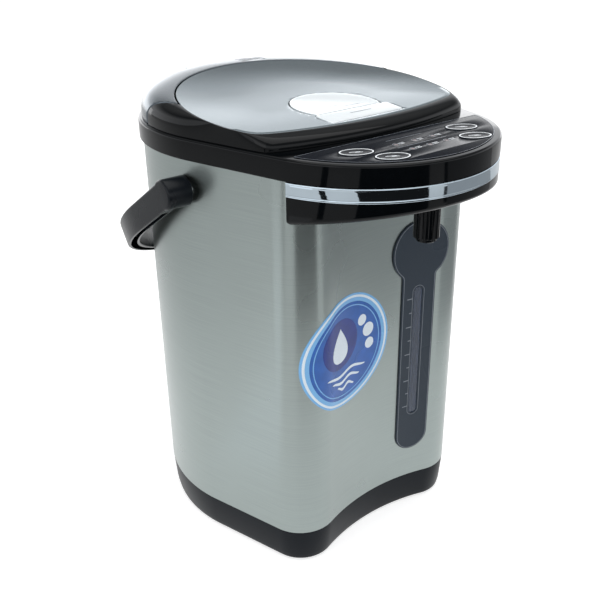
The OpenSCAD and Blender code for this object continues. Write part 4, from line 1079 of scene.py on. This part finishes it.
edge_in = 0.16
underside = [(dish_wide, leaf_t, 0.05, dish_deep), (dish_wide, leaf_t, 1, dish_deep),
    (30, leaf_t, 1, 0.75 * dish_deep), (7, leaf_t, 1, 0.2), (0.25, leaf_t)]
edge = [(0, leaf_t - 0.25), (0, 0.2), (0.05, 0.07), (edge_in, 0.0)]
dish = [(edge_in + dish_wide * t, 0, 1, dish_deep * (1 - (1 - t) ** 2)) for t in np.linspace(0, 1, 17)[1:]]
middle = [(edge_in + dish_wide, 0, share, dish_deep) for share in (0.8, 0.6, 0.4, 0.2, 0.05)]
leaf = loft("leaf_plate", [leaf_ring(*row) for row in underside + edge + dish + middle])
leaf = cut(leaf, *[sloped("cutter", outline, 9, -4) for outline in (well_outline(0.5), lever_outline(0.5))])
broken_edges(leaf, 0.18, 55)
hand_over(leaf, "lid", "leaf_grey", leaf_grey, "lid_top_plate")

# %% [markdown]
# The palm plate is a bright half-round plate with a low rim, and a groove along its straight edge for the
# finger tips. The lever lies just in front of the groove: with the palm on the plate, the finger tips
# pull the lever up and open the lid. The plate tilts with the hollow of the leaf, almost flush at the
# groove and lower towards the rear. It is made on the lid's plane first and moved down afterwards, prints
# and all.

# %% Palm plate and groove
palm_front_sink, palm_tilt = 0.45, 0.0455

def palm_sink(y):
    """How far the palm plate lies below the lid's plane, so that it follows the hollow leaf."""
    return palm_front_sink + palm_tilt * (y + well_front)

tray_wall, palm_face = 1.1, 0.75
palm = sloped("palm_plate", well_outline(-0.45), leaf_t, 0.1)
palm = cut(palm, sloped("cutter", well_outline(-1.3), palm_face, -4))
tray_loop = rectangle(groove_x + tray_wall, -groove_front - tray_wall, -well_flat + 1.5)
palm = fused(palm, sloped("tray", tray_loop, groove_depth, 1.0))
groove_loop = rectangle(groove_x, -groove_front, -well_flat)
palm = cut(palm, sloped("cutter", groove_loop, groove_depth - tray_wall, -4))
palm = reshaped(palm, lambda p: p - np.column_stack([0 * p[:, :2], palm_sink(p[:, 1])]))
broken_edges(palm, 0.22, 50)
hand_over(palm, "lid", "chrome", sky_reflection_white, "finger_well")

def on_lid(name, loops, drop, material, slot, body="lid", sunk=0.0, thick=0.05):
    """A film on the lid's plane, this far below it, or sunk=1 below the palm plate's."""
    flat = cut_sheet(name, loops, thick, print_edge, 1)
    flat = reshaped(flat, lambda p: np.column_stack(
        [p[:, :2], p[:, 2] + plane_z(p[:, 1]) - drop - sunk * palm_sink(p[:, 1])]))
    smooth(flat, 30)
    return hand_over(flat, body, slot, material)

palm_marks = [bar(-6, -56.0, 17, 0.9), bar(5, -60.5, 26, 0.8)]
on_lid("palm_marks", palm_marks, palm_face + 0.01, print_grey, "chrome", sunk=1.0)
# A grey film on the groove's floor, darker than the white plate around it: painted shade in the bottom of the
# groove.
groove_floor_shade = rectangle(groove_x - 0.3, -groove_front + 0.3, -well_flat - 0.3)
on_lid("groove_floor_shade", [groove_floor_shade], groove_depth - 1.08, groove_shade_grey, "leaf_grey", sunk=1.0)

# %% Lever bar
lever_round, barrel_r, barrel_long = 1.6, 2.6, 17.7
lever_rows = [(-0.5, 1.4), (0, 1.0), (0, 0.45), (-0.12, 0.2), (-0.35, 0.06), (-0.8, 0.0)]

def lever_ring(out, drop):
    plan = eased(lever_outline(out), lever_round, 5)
    return np.column_stack([plan, plane_z(plan[:, 1]) - drop])

def latch_barrel(x):
    rows = [(x, barrel_r - 0.3), (x + 0.3, barrel_r), (x + barrel_long - 0.3, barrel_r),
        (x + barrel_long, barrel_r - 0.3)]
    return turned_x("knuckle", rows, latch_y, latch_z, 32)

lever = loft("lever_bar", [lever_ring(*row) for row in lever_rows])
lever = fused(lever, *[latch_barrel(x) for x in (8.3, -26.0)])
lever = cut(lever, rod_x("cutter", -50, 50, latch_pin_r, latch_y, latch_z))
broken_edges(lever, 0.12, 60)
hand_over(lever, "latch", "chrome", sky_reflection_white, "latch_lever")
on_lid("lever_mark", [bar(2, -79.5, 20, 0.9)], -0.005, print_grey, "chrome", "latch")

# %% [markdown]
# ## The carrying handle
# The handle is one moulding: a wide band bent round the back of the pot, with a channel along its
# underside to save material, and a round hub at each end that turns on a pin. A profile carried along the
# bend gives the band and its soft edges in one go, and the channel starts only where a hand would hold
# it.

# %% Handle
hang = math.radians(-33)
arm_in, arm_out, bow_y = body_r + 9, body_r + 19, 50.6
arm_mid, band_half = (arm_in + arm_out) / 2, 10.0
channel_wall, channel_deep, channel_from = 2.4, 17, 13
arm_stations = (0, 4, 8, 11, 13, 14.5, 16, 18, 24, 32, 42)

def band_profile(channel):
    """The band cut across: outward distance and height, with a channel of this depth underneath."""
    half = (arm_out - arm_in) / 2
    slot, under = half - channel_wall, -band_half
    inside = eased([(-slot, under), (-slot, under + channel), (slot, under + channel), (slot, under)],
        0.9, 3, closed=False)
    outside = eased([(slot, under), (half, under), (half, band_half), (-half, band_half), (-half, under),
        (-slot, under)], 2.2, 5, closed=False)
    return np.vstack([outside, inside[1:-1]])

def along_arm(side, stations):
    for y in stations:
        yield (side * arm_mid, y), (side, 0), min(max(y - channel_from, 0.02) * 5.6, channel_deep)

def along_handle():
    """Places along the band: the middle line, its outward direction and the channel's depth there."""
    yield from along_arm(1, arm_stations)
    for turn in np.linspace(90, 270, 61):
        yield tuple((0, bow_y) + arm_mid * heading(turn)), tuple(heading(turn)), channel_deep
    yield from along_arm(-1, arm_stations[::-1])

handle_rings = []
for place, outward, channel in along_handle():
    p = band_profile(channel)
    handle_rings.append(np.column_stack([np.array(place) + p[:, :1] * np.array(outward), p[:, 1]]))
bail = loft("handle_bail", handle_rings, crease=42)

# %% Hubs of the handle
hub_in, hub_r, pin_end = body_r - 0.5, 11.0, arm_in + 1.5
hub_rows = [(hub_in, hub_r - 0.6), (hub_in + 0.6, hub_r), (arm_out - 2.2, hub_r), (arm_out - 1.2, 10.8),
    (arm_out - 0.5, 10.3), (arm_out - 0.1, 9.5), (arm_out, 8.6)]
hubs = [turned_x("hub", [(side * x, r) for x, r in hub_rows], 0, 0, 64) for side in (1, -1)]
bail = cut(fused(bail, *hubs), rod_x("cutter", -pin_end, pin_end, pivot_r + pin_fit, 0, 0, 48))
smooth(bail, 42)

def hung(points):
    """Turns the handle down behind the pot and sets it on its pivots."""
    c, s = math.cos(hang), math.sin(hang)
    x, y, z = points.T
    return np.column_stack([x, c * y - s * z - pivot_y, s * y + c * z + z_pivot])

reshaped(bail, hung)
hand_over(bail, "handle", "black_satin", handle_black, "handle")

# %% [markdown]
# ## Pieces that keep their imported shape
# The parts inside the pot, under it and in the hinge are already the right shape. They get the finish of
# what they are made of, and two modifiers: one joins their loose triangles and one smooths every edge
# that isn't a real corner. Nothing in their meshes changes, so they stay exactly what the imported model
# says.

# %% Smooth by angle
def smoothing_nodes(limit):
    tree = bpy.data.node_groups.new("smooth_by_angle", "GeometryNodeTree")
    tree.interface.new_socket("Geometry", in_out="INPUT", socket_type="NodeSocketGeometry")
    tree.interface.new_socket("Geometry", in_out="OUTPUT", socket_type="NodeSocketGeometry")
    start, end = tree.nodes.new("NodeGroupInput"), tree.nodes.new("NodeGroupOutput")
    faces, edges = (tree.nodes.new("GeometryNodeSetShadeSmooth") for _ in range(2))
    faces.domain, edges.domain = "FACE", "EDGE"
    angle = tree.nodes.new("GeometryNodeInputMeshEdgeAngle")
    soft = tree.nodes.new("FunctionNodeCompare")
    soft.data_type, soft.operation = "FLOAT", "LESS_THAN"
    soft.inputs["B"].default_value = limit
    tree.links.new(angle.outputs["Unsigned Angle"], soft.inputs["A"])
    tree.links.new(start.outputs[0], faces.inputs["Geometry"])
    tree.links.new(faces.outputs["Geometry"], edges.inputs["Geometry"])
    tree.links.new(soft.outputs["Result"], edges.inputs["Shade Smooth"])
    tree.links.new(edges.outputs["Geometry"], end.inputs[0])
    return tree

carried = {
    black_satin: ["swivel_disc", "bottom_cover", "inlet_socket", "lid_liner", "latch_hook"],
    black_rubber: ["rubber_pads"],
    sheet_steel: ["swivel_pin", "swivel_nut", "base_screws", "inner_pot", "heat_shield", "pump_motor",
        "handle_brackets", "handle_pins", "hinge_pin", "inner_lid", "latch_pin", "latch_spring"],
    silicone: ["rim_seal", "suction_sleeve", "delivery_hose", "upper_sleeve", "spout_pipe", "lid_gasket",
        "steam_valve"],
    white_plastic: ["swivel_glides", "thermostats", "pump_housing", "impeller"],
    mica_band: ["band_heater"],
    cast_aluminium: ["heating_plate"],
    clear_glass: ["gauge_tube"],
    circuit_green: ["circuit_board", "power_board"],
    lamp_red: ["indicator_lights"],
    brass_pins: ["inlet_pins"],
}
smooth_by_angle = smoothing_nodes(math.radians(32))
for material, names in carried.items():
    for name in names:
        node = frame["nodes"][name]
        node.data.materials.clear()
        node.data.materials.append(material)
        joined_up = node.modifiers.new("joined", "WELD")
        joined_up.merge_threshold = 0.01 * MM
        node.modifiers.new("smooth", "NODES").node_group = smooth_by_angle
print("packed shapes kept:", sum(len(names) for names in carried.values()))

# %% [markdown]
# ## Floor and light
# The pot stands on a plain white floor, whose white comes from what the camera sees and not from more
# light. Near the pot the floor also carries a painted pool of light that only polished surfaces see. A big
# soft light hangs over the pot, a long low panel stands behind it and slides a highlight over the lid, and
# one more light opens up the left side. Polished parts show what lies around them, so cards lie on the
# floor in the directions that the chrome strip and the steel mirror: black ones for the narrow dark bands,
# a grey one for the shaded right side and a pale one for the bright edge at the left.

# %% Helpers for the floor
def flat_stage(name, corners, z, material):
    mesh = bpy.data.meshes.new(name)
    mesh.from_pydata([(x * MM, y * MM, z * MM) for x, y in corners], [], [tuple(range(len(corners)))])
    mesh.materials.append(material)
    piece = bpy.data.objects.new(name, mesh)
    bpy.context.scene.collection.objects.link(piece)
    piece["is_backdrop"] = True
    return piece

def maths(tree, operation, *values):
    node = tree.nodes.new("ShaderNodeMath")
    node.operation = operation
    for socket, value in zip(node.inputs, values):
        if isinstance(value, bpy.types.NodeSocket):
            tree.links.new(value, socket)
        else:
            socket.default_value = value
    return node.outputs[0]

def seen_directly(tree, rays):
    """1 for what the camera sees, also through clear pieces."""
    return maths(tree, "MAXIMUM", rays.outputs["Is Camera Ray"], rays.outputs["Is Transmission Ray"])

# %% Floor paint
paint_tone, camera_glow, glow_near, glow_far = 0.62, 0.66, 0.62, 0.10
floor_white = bpy.data.materials.new("floor_white")
floor_white.use_nodes = True
tree = floor_white.node_tree
tree.nodes.clear()
rays = tree.nodes.new("ShaderNodeLightPath")
paint = add_node(tree, "BsdfDiffuse", Color=(paint_tone, paint_tone, paint_tone, 1))
reach = tree.nodes.new("ShaderNodeVectorMath")
reach.operation = "LENGTH"
tree.links.new(add_node(tree, "TexCoord").outputs["Object"], reach.inputs[0])
# For polished surfaces only, the floor glows from glow_near at 160 mm to glow_far at 700 mm: a painted pool of
# light that the steel mirrors low down.
painted_light_pool = add_node(tree, "MapRange", From_Min=0.16, From_Max=0.70, To_Min=glow_near, To_Max=glow_far)
tree.links.new(reach.outputs["Value"], painted_light_pool.inputs["Value"])
shown = maths(tree, "MULTIPLY", seen_directly(tree, rays), camera_glow)
mirrored = maths(tree, "MULTIPLY", rays.outputs["Is Glossy Ray"], painted_light_pool.outputs["Result"])
glow = add_node(tree, "Emission", Color=(1, 1, 1, 1))
tree.links.new(maths(tree, "ADD", shown, mirrored), glow.inputs["Strength"])
both = tree.nodes.new("ShaderNodeAddShader")
out = tree.nodes.new("ShaderNodeOutputMaterial")
tree.links.new(paint.outputs[0], both.inputs[0])
tree.links.new(glow.outputs[0], both.inputs[1])
tree.links.new(both.outputs[0], out.inputs["Surface"])
floor_half = 9000
flat_stage("floor", [(-floor_half, -floor_half), (floor_half, -floor_half), (floor_half, floor_half),
    (-floor_half, floor_half)], 0, floor_white)

# %% Cards on the floor
card_z, card_end = 3, 2600

def floor_card(name, turn0, turn1, near, far, tone):
    """A sheet on the floor between two directions, which only polished surfaces see."""
    material = bpy.data.materials.new(name)
    material.use_nodes = True
    material.node_tree.nodes.clear()
    bluish = (tone, tone * 1.02, tone * 1.05, 1)
    light = add_node(material.node_tree, "Emission", Color=bluish, Strength=1.0)
    out = material.node_tree.nodes.new("ShaderNodeOutputMaterial")
    material.node_tree.links.new(light.outputs[0], out.inputs["Surface"])
    corners = np.vstack([far * heading(np.linspace(turn0, turn1, 17)),
        near * heading(np.linspace(turn1, turn0, 17))])
    card = flat_stage(name, corners, card_z, material)
    card.visible_camera = card.visible_diffuse = card.visible_shadow = False
    return card

floor_card("card_front", -42, 10, 560, card_end, 0.012)
floor_card("card_left", -70.5, -65.5, 740, card_end, 0.015)
floor_card("card_right", 22.5, 25.5, 900, card_end, 0.05)
floor_card("card_grey_right", 25.5, 80, 470, card_end, 0.40)
floor_card("card_pale_left", -94, -74, 200, 750, 1.25)

# %% Lights
def soft_light(name, place, aim, width, height, radiance):
    """A rectangular light in metres, as bright as a white surface of this radiance."""
    light = bpy.data.lights.new(name, "AREA")
    light.shape, light.size, light.size_y = "RECTANGLE", width, height
    light.energy = radiance * math.pi * width * height
    lamp = bpy.data.objects.new(name, light)
    bpy.context.scene.collection.objects.link(lamp)
    lamp.location = place
    lamp.rotation_euler = (Vector(aim) - Vector(place)).to_track_quat("-Z", "Y").to_euler()
    lamp.visible_camera = False
    return lamp

soft_light("overhead", (0.1, -0.2, 2.3), (0, 0, 0.2), 2.6, 2.6, 1.15)
soft_light("backdrop_light", (1.2, 2.1, 0.48), (0, 0, 0.36), 5.0, 0.90, 1.55)
soft_light("left", (-1.7, -0.3, 0.9), (0, 0, 0.2), 1.4, 1.2, 0.8)

# %% [markdown]
# The room around the pot is bright low down and dark overhead, which is what rounds the gloss of the top.
# A photograph of a room could do that; a ramp over the height is smaller, and each step of it can be
# tuned. The camera sees plain white instead of the room.

# %% Background
room_steps = ((0.27, 1.50), (0.317, 1.20), (0.39, 0.74), (0.49, 0.22), (1.0, 0.10))
world = bpy.data.worlds.new("studio")
bpy.context.scene.world = world
world.use_nodes = True
tree = world.node_tree
tree.nodes.clear()
rays = tree.nodes.new("ShaderNodeLightPath")
direction = add_node(tree, "TexCoord").outputs["Generated"]
parts = tree.nodes.new("ShaderNodeSeparateXYZ")
tree.links.new(direction, parts.inputs[0])
height = tree.nodes.new("ShaderNodeValToRGB")
for place, bright in room_steps:
    stop = height.color_ramp.elements.new(place)
    stop.color = (bright * 0.97, bright * 0.99, bright * 1.02, 1)
height.color_ramp.elements.remove(height.color_ramp.elements[0])
height.color_ramp.elements.remove(height.color_ramp.elements[-1])
tree.links.new(parts.outputs["Z"], height.inputs["Fac"])
room = add_node(tree, "Background", Strength=1.0)
tree.links.new(height.outputs["Color"], room.inputs["Color"])
white = add_node(tree, "Background", Color=(1, 1, 1, 1), Strength=1.0)
seen = tree.nodes.new("ShaderNodeMixShader")
out = tree.nodes.new("ShaderNodeOutputWorld")
tree.links.new(seen_directly(tree, rays), seen.inputs["Fac"])
tree.links.new(room.outputs[0], seen.inputs[1])
tree.links.new(white.outputs[0], seen.inputs[2])
tree.links.new(seen.outputs[0], out.inputs["Surface"])
bpy.context.scene.view_settings.view_transform = "Standard"

# %% [markdown]
# ## The check at the end
# The visual model is measured against the imported one: how far it grows past the packed box.

# %% Sizes and finish
low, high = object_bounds()
grown_past = list(cad_low - low) + list(high - cad_high)
print("grown past the packed box, mm:", [round(v / MM, 2) for v in grown_past])
